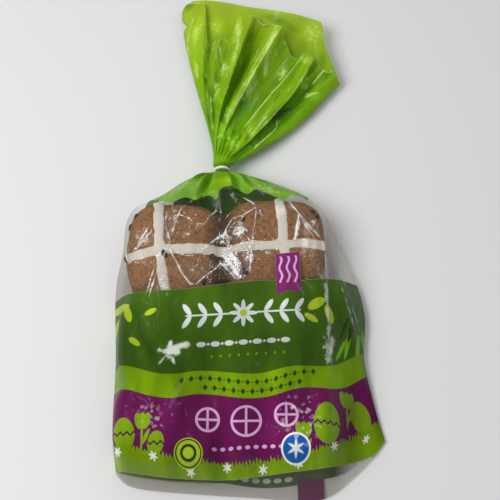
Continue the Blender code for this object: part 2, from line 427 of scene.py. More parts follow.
def round_section(share, radius):
    """How far a round section's points lie beside and above its middle, from its left to its right."""
    return -radius * np.cos(pi * share), radius * np.sin(pi * share)


def neck_corner(side, end):
    """Where a side fold meets the neck: side and end are -1 or 1, to -X or +X, to -Y or +Y."""
    return NECK[0] + side * SWOLLEN, NECK[1] + end * NECK_HALF


def bun_tops(x, y, height, spare):
    """Height over the table of the buns' upper surface, with room to spare beside each, and 0 beside that."""
    top = np.zeros_like(x)
    for across, width, slip in BUN_COLUMNS:
        for down, length in BUN_ROWS:
            reach = np.abs((x - across) / (width / 2 + spare)) ** BUN_SQUARENESS
            reach += np.abs((y - slip - down) / (length / 2 + spare)) ** BUN_SQUARENESS
            dome = height * (BUN_SHOULDER + (1 - BUN_SHOULDER) * np.sqrt(np.clip(1 - reach, 0, 1)))
            top = np.maximum(top, np.where(reach < 1, dome, 0))
    return top


def pulled_tight(height, obstacle):
    """Film held along its border and pulled tight over an obstacle, worked out on finer and finer grids."""
    inner = None
    for step, rounds in ((8, 700), (4, 350), (2, 200), (1, 120)):
        some, below = height[::step, ::step].copy(), obstacle[::step, ::step]
        if inner is not None:
            i = np.linspace(0, inner.shape[0] - 1, some.shape[0])
            j = np.linspace(0, inner.shape[1] - 1, some.shape[1])
            wide = np.array([np.interp(j, range(inner.shape[1]), row) for row in inner])
            guess = np.array([np.interp(i, range(inner.shape[0]), column) for column in wide.T]).T
            some[1:-1, 1:-1] = guess[1:-1, 1:-1]
        for _ in range(rounds):
            mean = (some[2:, 1:-1] + some[:-2, 1:-1] + some[1:-1, 2:] + some[1:-1, :-2]) / 4
            some[1:-1, 1:-1] = np.maximum(below[1:-1, 1:-1], mean)
        inner = some
    return inner


def crease(x, y, start, end, width, lean=0.0, taper=0.6):
    """A straight crease, from 0 to 1: a tent over a line that tapers to its ends. Its flanks may differ."""
    along_x, along_y = end[0] - start[0], end[1] - start[1]
    length = np.hypot(along_x, along_y)
    t = np.clip(((x - start[0]) * along_x + (y - start[1]) * along_y) / length**2, 0, 1)
    off_x, off_y = x - start[0] - t * along_x, y - start[1] - t * along_y
    side = np.sign(off_x * along_y - off_y * along_x)
    tent = np.clip(1 - np.hypot(off_x, off_y) / (width * (1 + lean * side)), 0, 1)
    return tent * tent * (3 - 2 * tent) * np.sin(pi * np.clip(t * 0.94 + 0.03, 0, 1)) ** taper


# What the random creases on the front and on the loose end are drawn from
WRINKLE_SEED, CRUMPLE_SEED = 4, 11
GATHER_HEIGHT = 2.8
CREASE_RELIEF = 0.5
GLINT_WIDTH = 0.95
FINE_GLINT_WIDTH = 0.9
# The share of the way across, next to each fold, in which the film is held flat
HELD_EDGE = 0.03
# Creases that stand out on the front: the points they run through, width, height and how much they glint
LONG_CREASES = (
    (((-41, 54), (-36, 45), (-31, 35), (-25.5, 27.5), (-22, 27)), 2.6, 1.2, 0.85),
    (((-22, 27), (-15, 34), (-9, 38), (-5, 43), (2, 36), (6, 31)), 2.4, 1.1, 0.75),
    (((-41, 54), (-36, 50), (-30, 48.5), (-23, 49), (-16, 55), (-10, 60), (-3, 64)), 2.4, 0.8, 0.7),
    (((-3, 64), (-1, 70), (3, 77), (11, 80), (20, 86)), 2.4, 1.0, 0.8),
    (((20, 86), (19, 74), (17, 62), (15, 45)), 2.4, 0.9, 0.6),
    (((-3, 64), (1, 57), (5, 51), (9, 38), (11, 32)), 2.4, 1.0, 0.45),
    (((-34, 80), (-28, 77), (-22, 73), (-17, 73), (-14, 79), (-8, 84)), 2.2, 0.7, 0.6),
    (((-40, 88), (-37, 76), (-43, 60), (-50, 42), (-56, 20)), 3.2, 1.0, 0.45),
    (((-33, 87), (-37, 74), (-42, 56), (-48, 38), (-53, 24)), 3.0, 0.9, 0.5),
    (((-56, 71), (-60, 64), (-63, 58)), 2.2, 0.7, 0.5),
    (((-50, 72), (-58, 62), (-66, 54)), 2.2, 0.7, 0.45),
    (((43, 92), (51, 80), (60, 69), (69, 59.5)), 2.4, 1.0, 0.7),
    (((50, 80), (49, 70), (47.5, 65)), 2.0, 0.7, 0.9),
    (((51, 76), (57, 68), (60, 64)), 2.0, 0.6, 0.5),
    (((33, 74), (33, 64), (33, 52)), 2.4, 0.5, 0.3),
    (((27, 81), (28, 73), (28, 68)), 2.4, 0.5, 0.25),
    (((68.5, 52), (69, 40), (69.5, 20), (69, 0), (68, -16)), 3.4, 1.2, 0.6),
    (((62, 44), (64, 36), (66, 28)), 2.4, 0.6, 0.35),
    (((77, 62), (82, 38), (90, 14), (96, -8)), 4.0, 1.6, 0.4),
    (((60, 92), (77, 46), (84, 10), (96, -30), (105, -66)), 6.0, 2.2, 0.0),
    (((-69, 44), (-72, 52), (-64, 60)), 2.4, 0.6, 0.45),
    (((-60, 18), (-63, -10), (-62, -30)), 8.0, 1.0, 0.0),
    (((-50, 14), (-52, -8), (-42, -30)), 8.0, -1.2, 0.0),
    (((-30, 20), (-44, -10), (-40, -34)), 5.0, 0.9, 0.0),
    (((2, -62), (18, -66), (32, -78)), 7.0, -1.0, 0.0),
    (((60, -76), (72, -88), (88, -94)), 6.0, 1.2, 0.0),
    (((-64, -66), (-70, -84), (-66, -98)), 6.0, 1.2, 0.0),
)
# Lines and wedges that are only seen as light: the points they run through, half width and strength
LIT_LINES = (
    (((65.8, 207.7), (70.8, 213.9), (75.9, 219.9), (83.6, 219.4)), 1.1, 1.0),
    (((59.1, 195.2), (64, 198), (69.3, 199.1)), 1.4, 0.9),
    (((36.7, 174.2), (36.2, 168.3), (33.3, 164), (23, 153.3), (18.3, 148)), 1.0, 0.9),
    (((53.9, 267.8), (57.3, 259.4), (65, 251.1)), 1.1, 0.7),
    (((-30.6, 270.2), (-34.7, 257.1), (-35.4, 246.5), (-34.1, 234.9)), 1.3, 0.7),
    (((-19, 231), (-16.5, 236), (-12.7, 241), (-6.9, 242.2)), 0.9, 0.6),
    (((28.6, 173.2), (21.1, 164.7), (15.5, 156.2)), 1.2, 0.8),
    (((-40, -20), (-33, -17), (-27, -15)), 4.6, 0.8), (((-37, -17), (-41, -24), (-45, -28)), 2.0, 0.6),
    (((-39, -24), (-38.5, -18), (-37, -13)), 2.6, 0.75), (((-34, -19), (-40, -20), (-46, -19)), 2.4, 0.6),
    (((-39, -18), (-36, -24), (-35, -28)), 2.4, 0.6), (((-41, -20), (-33, -20)), 4.0, 1.0),
    (((68, 32), (69, 4), (70, -25)), 3.2, 0.5), (((67, -26), (71, -14), (71.5, -6)), 3.6, 0.6),
    (((-54.9, 66.8), (-60, 60), (-64.7, 53)), 0.8, 0.7),
    (((-59.6, 68.1), (-62, 61), (-63.6, 55.5)), 1.0, 0.6),
    (((-40.5, 59), (-49, 35.8), (-53.9, 18.9)), 0.9, 0.65),
    (((-43, 86), (-44.6, 71.9), (-40, 58)), 1.0, 0.6),
    (((43.3, 90), (51.4, 78.3), (59.2, 64.3)), 0.8, 0.7),
    (((45.7, 91.3), (57.2, 75.7), (67.2, 60.5)), 0.7, 0.6), (((49.2, 75), (48, 68), (47, 61)), 1.8, 0.8),
    (((74.8, 46.8), (83.1, 24.9), (90.9, -1.2)), 1.3, 0.45),
    (((-18.6, 101.6), (-25, 94), (-32.5, 87.1)), 0.8, 0.6),
    (((10.2, 96.3), (15, 92.5), (19.7, 88.4)), 0.9, 0.9),
    (((17.4, 109.6), (22, 103), (25.7, 97.6)), 0.8, 0.6), (((24.6, 112.3), (31.8, 101.6)), 0.8, 0.5),
    (((-3, 49), (3, 41), (8, 33)), 3.2, 0.68), (((2, 51), (6, 44), (8, 37)), 2.6, 0.62),
    (((-7, 63), (-2, 66), (1, 61)), 2.4, 0.62), (((14, 62), (17, 50), (15, 38)), 1.8, 0.52),
    (((35.5, 243), (31, 232), (28.5, 222), (27, 212)), 3.4, 0.72),
    (((20, 210), (16.4, 201.5), (12.5, 192)), 2.8, 0.7),
    (((12, 190), (6.1, 185), (0.5, 177.4), (-3.1, 167)), 1.6, 0.58),
    (((6, 251), (6.5, 242), (4.5, 228), (3, 219)), 2.4, 0.64), (((-4.8, 223), (-6.7, 217)), 3.4, 0.66),
    (((-9.5, 205), (-12, 200)), 1.8, 0.62), (((42.4, 221), (41.3, 213)), 3.2, 0.66),
    (((-28.4, 258), (-27.7, 248)), 3.0, 0.52), (((-27, 225), (-26.5, 215)), 2.0, 0.6),
)


def lit_lines(x, y):
    """How strongly each place is lit by the lines and wedges above."""
    total = np.zeros_like(x)
    for points, width, strength in LIT_LINES:
        for start, end in zip(points, points[1:]):
            total = np.maximum(total, strength * crease(x, y, start, end, width, 0, 0.15))
    return total


def add_crease(film, draw, start, swing, lengths, rises, widths, shine=0):
    """Adds a crease drawn at random to the film's height and glint. swing turns it from straight down."""
    x, y, height, glint = film
    end = start + draw.uniform(*lengths) * heading(swing)
    height += draw.uniform(*rises) * crease(x, y, start, end, draw.uniform(*widths), draw.uniform(-0.5, 0.5))
    if shine:
        np.maximum(glint, draw.uniform(0, shine) * crease(x, y, start, end, FINE_GLINT_WIDTH), out=glint)


def film_wrinkles(x, y, share):
    """Height to add to the tight front, how much it glints, and its painted light and shade from -1, painted
    shade, to 1, painted light.
    """
    draw = np.random.default_rng(WRINKLE_SEED)
    away = np.hypot(x - NECK[0], y - NECK[1])
    wander = 0.012 * np.sin(away / 13) + 0.008 * np.sin(away / 5.3 + 2)
    gathers = profile(GATHERS, np.clip(share + wander, 0, 1))
    reach = 19 + 5 * np.sin(15 * share + 1) + 4 * np.sin(37 * share)
    strength = smoothstep((away - 5) / 14) * np.exp(-np.clip(away - 20, 0, None) / reach)
    height = GATHER_HEIGHT * gathers * strength
    light_and_shade = profile(GATHER_LIGHT_AND_SHADE, np.clip(share + wander, 0, 1)) * np.exp(-np.clip(away - 24, 0, None) / 9)
    # The strongest painted shadow, down to -2, right under the tie
    light_and_shade = np.minimum(light_and_shade, 3 * smoothstep((away - 3.5) / 5) - 2)
    glint = np.zeros_like(x)

    for points, width, rise, shine in LONG_CREASES:
        for start, end in zip(points, points[1:]):
            height += CREASE_RELIEF * rise * crease(x, y, start, end, width, 0.3, 0.3)
            glint = np.maximum(glint, shine * crease(x, y, start, end, GLINT_WIDTH, 0, 0.05))
    glint = np.maximum(glint, lit_lines(x, y))
    # Broad painted shade and painted light from the table of them
    light_and_shade = light_and_shade + sum(ovals(x, y, PAINTED_LIGHT_AND_SHADE))
    film = x, y, height, glint

    # Fine lines down from the neck over the window
    for _ in range(60):
        turn = draw.normal(0, 0.5)
        start = NECK[:2] + draw.uniform(30, 78) * heading(turn)
        swing = turn + draw.normal(0, 0.16)
        add_crease(film, draw, start, swing, (10, 34), (-0.3, 0.5), (2.0, 3.6), 0.5)

    # Slow dents where the film lies over the print
    for _ in range(34):
        start = np.array((draw.uniform(-80, 100), draw.uniform(-108, 16)))
        add_crease(film, draw, start, draw.normal(0, 0.5), (14, 44), (-0.9, 0.8), (6, 14))

    # Crumpled film over the groove between the two columns of buns
    for _ in range(70):
        start = np.array((draw.normal(4, 5), draw.uniform(30, 78)))
        add_crease(film, draw, start, draw.uniform(0, pi), (3, 10), (-0.5, 0.6), (1.5, 2.6), 0.8)

    # Slow swells along the sides, where the film isn't held
    height += 1.0 * np.sin(y / 9 + x / 23) * smoothstep((np.abs(x - 12) - 55) / 25)
    return height * smoothstep(np.minimum(share, 1 - share) / HELD_EDGE), glint, light_and_shade


# Places where the film crumples and gets painted glitter and painted sheen: middle, half width and length,
# turn in degrees, strength
CRUMPLE_SHEEN_PATCHES = (
    (-3, 62, 4, 5, 0, 0.85), (8, 67, 6, 4, 20, 1.0), (4, 43, 6, 11, 30, 1.0), (14, 50, 4, 12, 0, 0.7),
    (-43, 29, 3.5, 9, 10, 0.5), (-28, 64.5, 4, 2.5, 0, 0.6), (-40, 71, 3.5, 14, -10, 0.6),
    (49, 70, 2.2, 6, -5, 0.7), (66, 39, 5, 6, 0, 0.4), (49, 58.5, 3, 3, 0, 0.6), (28, 51, 8, 4, 0, 0.3),
    (-22, 37, 15, 8, 10, 0.3), (-60, 63, 6, 7, 40, 0.3), (-36, -19, 7.5, 5, 20, 0.9),
    (68, -16, 3.5, 13, 0, 0.7), (47, -66, 20, 20, 30, 0.4), (-50, -62, 20, 16, 0, 0.3),
    (0, 112, 6, 6, 0, 0.4), (-30, 112, 10, 5, 30, 0.4), (26, 104, 12, 5, -20, 0.5),
    (40, 100, 10, 4, -20, 0.5), (32, 233, 4, 20, -21, 1.0), (17, 203, 3.2, 11, -25, 0.95),
    (2, 183, 2.4, 12, -24, 0.75), (42, 215, 3.5, 6, -20, 0.95), (-5, 216, 3.5, 7, 0, 0.9),
    (-11, 195, 1.6, 6, -20, 0.8), (6, 250, 2.6, 11, -3, 0.85), (2, 222, 2, 10, -12, 0.75),
    (-31, 245, 7, 34, 12, 0.25), (-28, 255, 4, 12, -15, 0.7), (-28, 222, 1.8, 9, 5, 0.7),
    (-19, 246, 2, 6, -10, 0.6), (58, 222, 6, 3, 0, 0.7), (66, 254, 9, 8, 40, 0.6),
    (-12, 262, 5, 7, 0, 0.7), (36, 275, 12, 3, -15, 0.4), (60, 207, 2.5, 8, -35, 0.7),
    (-6, 160, 5, 8, 0, 0.7), (4, 150, 7, 5, 0, 0.6), (64, 197, 6, 2.5, -10, 0.75),
    (17, 160, 4, 7, -40, 0.6),
)
# Broad painted shade and painted light on the film's folds: middle, half width and length, turn in degrees,
# and strength from -1, painted shade, to 1, painted light
PAINTED_LIGHT_AND_SHADE = (
    (-52, -17, 4, 16, 25, -0.45), (-59, -14, 4, 18, 20, 0.3), (30, -14, 14, 12, 0, -0.55),
    (60, -10, 7, 12, 0, -0.2), (78, 6, 5, 14, 0, -0.35), (-48, -55, 5, 10, 0, -0.3),
    (16, -61, 12, 10, 0, -0.4), (85, -55, 6, 16, 0, -0.4), (24, -45, 9, 4, 0, -0.25),
    (3, 12, 24, 9, 0, 0.3), (-37, -46, 5, 8, 0, 0.5), (-36, -60, 7, 9, 0, 0.3),
    (40, -76, 15, 9, -20, 0.5), (60, 26, 6, 6, 0, 0.35), (71, 10, 3, 20, 0, 0.3), (69, -36, 8, 6, 0, 0.2),
    (-66, -6, 14, 28, 0, -0.4), (-5, 139, 9, 7, 0, 0.8), (0, 113, 7, 8, 0, 0.5), (30, 257, 4, 3, 0, -0.8),
    (40, 263, 17, 5, -27, -1.0), (58, 240, 7, 12, -30, -0.6), (5, 281, 30, 3, -12, -0.3),
    (12, 186, 5, 8, -25, -0.6), (-35, 284, 6, 6, 0, -0.8), (74, 229, 2.5, 9, 0, -0.8),
    (-3, 214, 8, 16, -10, -0.3), (44, 204, 8, 14, -35, -0.2),
)


def ovals(x, y, table):
    """One soft oval from 0 to its strength for each row of a table."""
    for across, along_y, wide, long, turn, strength in table:
        c, s = cos(radians(turn)), sin(radians(turn))
        u, v = (x - across) * c + (y - along_y) * s, (y - along_y) * c - (x - across) * s
        yield strength * np.exp(-((u / wide) ** 2) - (v / long) ** 2)


def crumple_sheen_at(x, y):
    """How strongly painted glitter and sheen cover the film where it crumples, from 0 to 1."""
    return np.max(list(ovals(x, y, CRUMPLE_SHEEN_PATCHES)), axis=0)


def body_layers():
    """The front and the back film from the bottom fold to the neck, with each point's glint and painted light
    and shade.
    """
    length = np.linspace(0, 1, BODY_RINGS + 1)[:, None]
    left = along([*LEFT_FOLD, neck_corner(-1, -1)], BODY_RINGS + 1)[:, None]
    right = along([*RIGHT_FOLD, neck_corner(1, -1)], BODY_RINGS + 1)[:, None]
    rounding = smoothstep((length - ROUND_FROM) / (1 - ROUND_FROM))
    fold = BOTTOM_FOLD_HEIGHT + (FOLD_HEIGHT - BOTTOM_FOLD_HEIGHT) * smoothstep(length / BOTTOM_FOLD_REACH)
    fold = fold + (NECK[2] - FOLD_HEIGHT) * smoothstep((length - LIFT_FROM) / (1 - LIFT_FROM))

    layers = []
    for columns in (ACROSS_FRONT, ACROSS_BACK):
        share = np.linspace(0, 1, columns + 1)
        plan = left + (right - left) * share[:, None]
        bow = along(BOTTOM_FOLD, columns + 1) - plan[0]
        plan = plan + bow * (1 - smoothstep(length / BOTTOM_FOLD_REACH))[:, :, None]
        x, y = plan[:, :, 0], plan[:, :, 1]
        beside, above = round_section(share, SWOLLEN)
        middle, half_width = (x[:, :1] + x[:, -1:]) / 2, (x[:, -1:] - x[:, :1]) / 2
        x = x + (middle + beside / SWOLLEN * half_width - x) * rounding
        y = y + (y.mean(axis=1, keepdims=True) - y) * rounding
        layers.append((share, x, y, above))

    share, x, y, above = layers[0]
    z = np.repeat(fold, ACROSS_FRONT + 1, axis=1)
    z[-1] = NECK[2] + above
    z[1:-1, 1:-1] = BUN_HEIGHT
    obstacle = bun_tops(x, y, BUN_HEIGHT, FILM_SPARE)
    z = pulled_tight(z, obstacle)
    height, glint, light_and_shade = film_wrinkles(x, y, share[None])
    z = np.maximum(z + height * smoothstep((1 - length) / 0.05), obstacle * PRESSED_TO)
    front = np.dstack([x, y, z, glint, light_and_shade])

    share, x, y, above = layers[1]
    to_side = np.minimum(share, 1 - share) / FOLD_LIFT_WIDTH
    lift = 1 - smoothstep(np.minimum(to_side, length / BOTTOM_LIFT_LENGTH))
    z = fold * lift * (1 - rounding) + (NECK[2] - above) * rounding + 0.15 * (1 - rounding) * (1 - lift)
    plain = np.zeros_like(x)
    back = np.dstack([x, y, z, plain, plain])
    return front, back


def neck_layers():
    """The gathered film through the tie, held in by it and swollen on both sides of it."""
    layers = []
    for columns, side in ((ACROSS_FRONT, 1), (ACROSS_BACK, -1)):
        share = np.linspace(0, 1, columns + 1)
        rings = []
        for offset in np.linspace(-NECK_HALF, NECK_HALF, NECK_RINGS + 1)[1:]:
            swell = smoothstep((abs(offset) - GROOVE_HALF) / (NECK_HALF - GROOVE_HALF))
            ruffle = 0.5 * folded(9 * share) * swell * np.sin(pi * share)
            beside, above = round_section(share, NECK_RADIUS + NECK_SWELL * swell + ruffle)
            level = np.full_like(share, NECK[1] + offset)
            # Painted shade in the groove under the tie, and painted light on the swells beside it
            light_and_shade = np.full_like(share, 0.6 * swell - 0.8 * (1 - swell))
            rings.append(np.column_stack([NECK[0] + beside, level, NECK[2] + side * above, 0 * light_and_shade, light_and_shade]))
        layers.append(np.array(rings))
    return layers


def fan_light(wander, out, shine_at_rim):
    """The painted light and shade and the glint of one ring of the loose end's upper film, from its place
    across the folds.
    """
    light_and_shade = profile(FAN_LIGHT_AND_SHADE, wander) * smoothstep(out / 0.12) * (1 - 0.65 * smoothstep((out - 0.8) / 0.15))
    width = FOLD_GLINT_WIDTH / np.maximum(out, 0.3)
    ridges = [shine * np.clip(1 - np.abs(wander - ridge) / width, 0, 1) for ridge, shine in FAN_GLINTS]
    glint = np.max(ridges, axis=0) * smoothstep((out - 0.15) / 0.2)
    return light_and_shade, np.maximum(glint, shine_at_rim)


def crumple_fan(upper):
    """Adds small creases drawn at random to the loose end's upper film, more of them near the neck, and
    paints shade and light along them.
    """
    draw = np.random.default_rng(CRUMPLE_SEED)
    x, y, height, glint, light_and_shade = np.moveaxis(upper, 2, 0)
    extra = np.zeros_like(x)
    for count, away, spread, lengths in ((50, (8, 40), 0.7, (6, 16)), (100, (30, 125), 0.2, (12, 45))):
        for _ in range(count):
            turn = draw.uniform(-0.25, 0.85)
            start = NECK[:2] + draw.uniform(*away) * heading(turn, 1)
            swing = turn + draw.normal(0, spread)
            end = start + draw.uniform(*lengths) * heading(swing, 1)
            shape = crease(x, y, start, end, draw.uniform(1.6, 3.8), draw.uniform(-0.5, 0.5))
            extra += draw.uniform(-0.8, 1.2) * shape
            light_and_shade += draw.uniform(-0.6, 0.6) * shape
            np.maximum(glint, draw.uniform(0, 0.5) * crease(x, y, start, end, FINE_GLINT_WIDTH), out=glint)
    share = np.linspace(0, 1, ACROSS_FRONT + 1)
    height += extra * smoothstep(np.minimum(share, 1 - share) / HELD_EDGE)


def fan_layers():
    """The loose end: the upper and the lower film of a tube that spreads from the neck to its mouth."""
    left = along([neck_corner(-1, 1), *FAN_LEFT_EDGE], FAN_RINGS + 1)
    right = along([neck_corner(1, 1), *FAN_RIGHT_EDGE], FAN_RINGS + 1)
    steps = np.linspace(0, 1, FAN_RINGS + 1)
    places, heights, leans = np.array(FAN_FOLDS).T
    layers = []
    for columns, is_upper in ((ACROSS_FRONT, True), (ACROSS_BACK, False)):
        share = np.linspace(0, 1, columns + 1)
        beside, above = round_section(share, SWOLLEN)
        start = np.column_stack([NECK[0] + beside, np.full_like(share, NECK[1] + NECK_HALF)])
        run = along(FAN_MOUTH, columns + 1) - start
        length = np.linalg.norm(run, axis=1)
        across = np.column_stack([run[:, 1], -run[:, 0]]) / length[:, None]
        short = profile(UPPER_RIM, share) if is_upper else 0.6 * np.sin(9 * share)
        to_rim = 1 - short / length
        inside = np.sqrt(np.sin(pi * share))
        pulls = left - start[0] - np.outer(steps, run[0]), right - start[-1] - np.outer(steps, run[-1])
        rings = []
        for ring in range(1, FAN_RINGS + 1):
            out = ring / FAN_RINGS * to_rim
            plan = start + run * out[:, None]
            for weight, pull in zip((1 - share, share), pulls):
                plan += weight[:, None] * np.column_stack([np.interp(out, steps, axis) for axis in pull.T])
            plan[:, 0] += EDGE_NICK * np.exp(-((plan[:, 1] - EDGE_NICK_AT) / 3) ** 2 - share / 0.02)
            spread, narrow = smoothstep(1.6 * out), (1 - out) ** 3
            edge = NECK[2] + (FAN_EDGE_HEIGHT - NECK[2]) * spread
            if is_upper:
                wander = share + 0.008 * np.sin(6 * out + 9 * share)
                wander = wander + FAN_DRIFT * share**0.7 * (1 - share)**1.8 * (1 - out)**2
                leaning = np.sin(pi * np.clip(out * 1.08, 0, 1)) ** 0.7
                lean = np.interp(wander, places, leans) * leaning * inside
                plan = plan + across * lean[:, None]
                flattened = 1 - 0.8 * smoothstep((out - FOLDS_FLATTEN_FROM) / (1 - FOLDS_FLATTEN_FROM))
                folds = np.interp(wander, places, heights) * FOLD_DEPTH * flattened
                rise = (FAN_SWELL + RIM_RISE * smoothstep((out - 0.5) / 0.5) + folds) * inside * spread
                near = np.clip(1 - out / 0.45, 0, 1)
                pleats = folded(9.5 * share + 0.2 + 0.3 * out)
                rise += PLEAT_HEIGHT * pleats * near * smoothstep(out / 0.06) * inside
                height = edge + rise + above * narrow
                light_and_shade, glint = fan_light(wander, out, RIM_GLINT * (ring == FAN_RINGS))
            else:
                fall = (FAN_EDGE_HEIGHT - FAN_UNDERSIDE) * inside * spread
                lifted = FAN_SWELL + RIM_RISE - 1.5 + np.sin(14 * share + 1)
                lifted = lifted * inside * smoothstep((out - 0.4) / 0.6)
                height = edge - fall - above * narrow + lifted
                # Painted light on the lower film, paler away from the neck
                light_and_shade, glint = np.full_like(share, 0.3 * spread), np.zeros_like(share)
            rings.append(np.column_stack([plan, height, glint, light_and_shade]))
        layers.append(np.array(rings))

    upper = layers[0]
    crumple_fan(upper)
    upper[:, :, 3] = np.maximum(upper[:, :, 3], lit_lines(upper[:, :, 0], upper[:, :, 1]))
    # Broad painted shade and painted light on both films
    for film in layers:
        film[:, :, 4] += sum(ovals(film[:, :, 0], film[:, :, 1], PAINTED_LIGHT_AND_SHADE))
    return layers


def make_film():
    """The whole bag as one skin: body, neck and loose end, shut at the bottom fold and open at the mouth."""
    bodies, necks, fans = body_layers(), neck_layers(), fan_layers()
    front, back = (np.concatenate([a, b, c]) for a, b, c in zip(bodies, necks, fans))
    # Each ring runs along the front from left to right and returns along the back
    rings = np.concatenate([front, back[:, -2:0:-1]], axis=1)
    count, around = rings.shape[:2]
    points = rings[:, :, :3].reshape(-1, 3)
    bag = make_mesh("film_bag", points, faces=ring_faces(count, around))

    # Where each point lies on the print: across and along, and 0 on the front or 1 on the back
    x, y, _ = points.T
    side = np.tile(np.where(np.arange(around) <= ACROSS_FRONT, 0.0, 1.0), count)
    store(bag.data, "print_place", x, y, side)
    # Painted light at each point: its glint, its painted light and shade, and the painted glitter and sheen
    # where the film crumples
    crumple_sheen = crumple_sheen_at(x, y) * np.where(y > LOWER_FILM_SHOWS_FROM, 1, 1 - side)
    store(bag.data, "film_light", rings[:, :, 3].ravel(), rings[:, :, 4].ravel(), crumple_sheen)
    return bag


# ---------------------------------------------------------------- the film's print

LIME = srgb(114, 174, 6)
LIME_PALE = srgb(166, 192, 38)
# Painted shade and painted light on the lime film's folds
LIME_SHADE = srgb(74, 132, 0)
LIME_LIT = srgb(156, 204, 18)
LIME_BAND = srgb(112, 148, 2)
MEADOW = srgb(118, 152, 10)
DARK_GREEN = srgb(61, 94, 18)
DEEP_GREEN = srgb(40, 66, 10)
# The lime film's strongest painted shade
DARKEST_LIME_SHADE = srgb(16, 34, 4)
PURPLE = srgb(98, 20, 76)
DEEP_PURPLE = srgb(74, 16, 58)
TAG_PURPLE = srgb(120, 36, 98)
PALE = srgb(205, 212, 208)
LILAC = srgb(206, 160, 204)
WHITE = srgb(226, 226, 222)
BLUE = srgb(22, 84, 160)
# Film that isn't printed, painted glints on it and on lime, the dull veil over the shoulder, and painted
# glare over the right edge
VEIL = srgb(244, 243, 240)
GLINT = srgb(240, 242, 236)
LIME_GLINT = srgb(226, 240, 150)
LIME_VEIL = srgb(196, 216, 150)
GREEN_GLARE = srgb(120, 132, 120)
# What shows through the film is tinted by it: clear, hanging loose, over the bottom fold, and lime
CLEAR_TINT = (0.97, 0.97, 0.97, 1)
LOOSE_TINT = (0.78, 0.77, 0.75, 1)
BOTTOM_TINT = (0.81, 0.80, 0.785, 1)
LIME_TINT = srgb(196, 226, 120)

# Edges of the printed bands, from left to right over the front
SHOULDER_EDGE = (
    (-72, 99), (-53, 95.5), (-44, 91.5), (-40, 91.8), (-31, 96.5), (-23, 93.5), (-19, 97.5), (-13, 96.5),
    (-8, 93.5), (-7, 101), (0, 105.5), (7, 104), (14, 99.5), (20, 103.5), (29, 99.5), (41, 94),
    (47, 98.5), (56, 99.5), (60, 109), (84, 111),
)
GREEN_TOP = (
    (-88, 27), (-80, 26), (-62, 23.5), (-50, 23.5), (-32, 24), (2, 28.5), (28, 30.5), (50, 31), (79, 37),
    (108, 40),
)
GREEN_BOTTOM = (
    (-88, -25), (-77, -26), (-41, -35), (-17, -33), (22, -34.5), (42, -30), (69, -27), (92, -14),
    (108, -6),
)
LIME_BOTTOM = (
    (-88, -41), (-76, -42), (-40, -51), (-17, -48.5), (22, -51), (48, -44.5), (76, -41), (96, -29),
    (108, -22),
)
GRASS_TOP = (
    (-88, -78), (-63, -82), (-29, -89), (15.5, -91), (48, -86), (80, -74), (108, -56),
)
GRASS_BOTTOM = (
    (-88, -90), (-76, -93), (-53, -97.5), (-24, -100), (3, -100), (36, -97), (70, -92), (108, -79),
)
# Lower edge of the back's wrapped print, which shows through the clear bottom
WRAP_EDGE = (
    (-88, -86), (-62, -93), (-54, -96), (-5, -100), (28, -103.5), (64, -98), (80, -93.5), (89, -87),
    (108, -70),
)
# The corners of the field in which the edges are drawn
EDGE_LOW, EDGE_HIGH = np.array((-92, -112)), np.array((112, 112))
PRINT_MIDDLE = 11
FIRST_DAISY, DAISY_STEP = -70, 23.5
# Where the back's lime end begins, the top of its dark panel, the top of the shoulder's dull veil, and where
# the loose end turns yellower
BACK_LIME_FROM = 118
PANEL_TOP = 119
VEIL_TOP = 126
YELLOWER_AT = 185


class Print:
    """The film's artwork: each shape that is painted covers what is under it."""

    def __init__(self, finish, place, colour):
        self.finish, self.place, self.colour = finish, place, colour
        self.x, self.y, _ = finish.parts(place)

    def paint(self, mask, colour):
        """Covers the artwork so far with a colour where the mask is 1."""
        self.colour = self.finish.mix(mask, self.colour, colour)

    def edge(self, points):
        """The height of a band's edge over the place's x."""
        size = EDGE_HIGH - EDGE_LOW
        stops = [tuple((np.array(point) - EDGE_LOW) / size) for point in points]
        along_x = (self.x - float(EDGE_LOW[0])) / float(size[0])
        share = self.finish.add("FloatCurve", {"points": stops}, Value=along_x)
        return share * float(size[1]) + float(EDGE_LOW[1])

    def oval(self, place, middle, radii, turn=0.0):
        """1 in an oval whose radii are given in millimetres, 0 round it."""
        f = self.finish
        moved = f.add("Mapping", {"vector_type": "TEXTURE"}, Vector=place, Location=(*middle, 0),
                      Rotation=(0, 0, radians(turn)), Scale=(*radii, 1))
        return f.inside((1 - f.vector("LENGTH", moved, output=1)) * min(radii))

    def ovals(self, rows):
        """1 in any of the ovals whose middle, half width and length, and turn the rows give."""
        shapes = [self.oval(self.place, (x, y), (wide, long), turn) for x, y, wide, long, turn in rows]
        return self.finish.larger(*shapes)

    def away(self, middle):
        """How far a place is from a middle."""
        return self.finish.vector("DISTANCE", self.place, (*middle, 0), output=1)

    def ring(self, middle, radius, half_width):
        """1 on a ring round a middle."""
        return self.finish.inside(half_width - abs(self.away(middle) - radius))

    def cell(self, value, width, start=0.0):
        """Where a value lies in its repeating cell, from -width / 2 to width / 2."""
        return self.finish.add("Math", {"operation": "WRAP"}, _0=value - start, _1=width / 2, _2=-width / 2)

    def point(self, x, y):
        """A place on a shape's own small sheet."""
        return self.finish.add("CombineXYZ", None, X=x, Y=y)

    def within(self, value, middle, half):
        """1 where a value is at most half from its middle."""
        return self.finish.inside(half - abs(value - middle))

    def beads(self, y, step, middle, count, radii, shift=0.0):
        """A row of ovals, a step apart and count steps long. y is a place's height over the row."""
        bead = self.point(self.cell(self.x, step, middle + shift), y)
        return self.oval(bead, (0, 0), radii) * self.within(self.x, middle, count * step / 2)


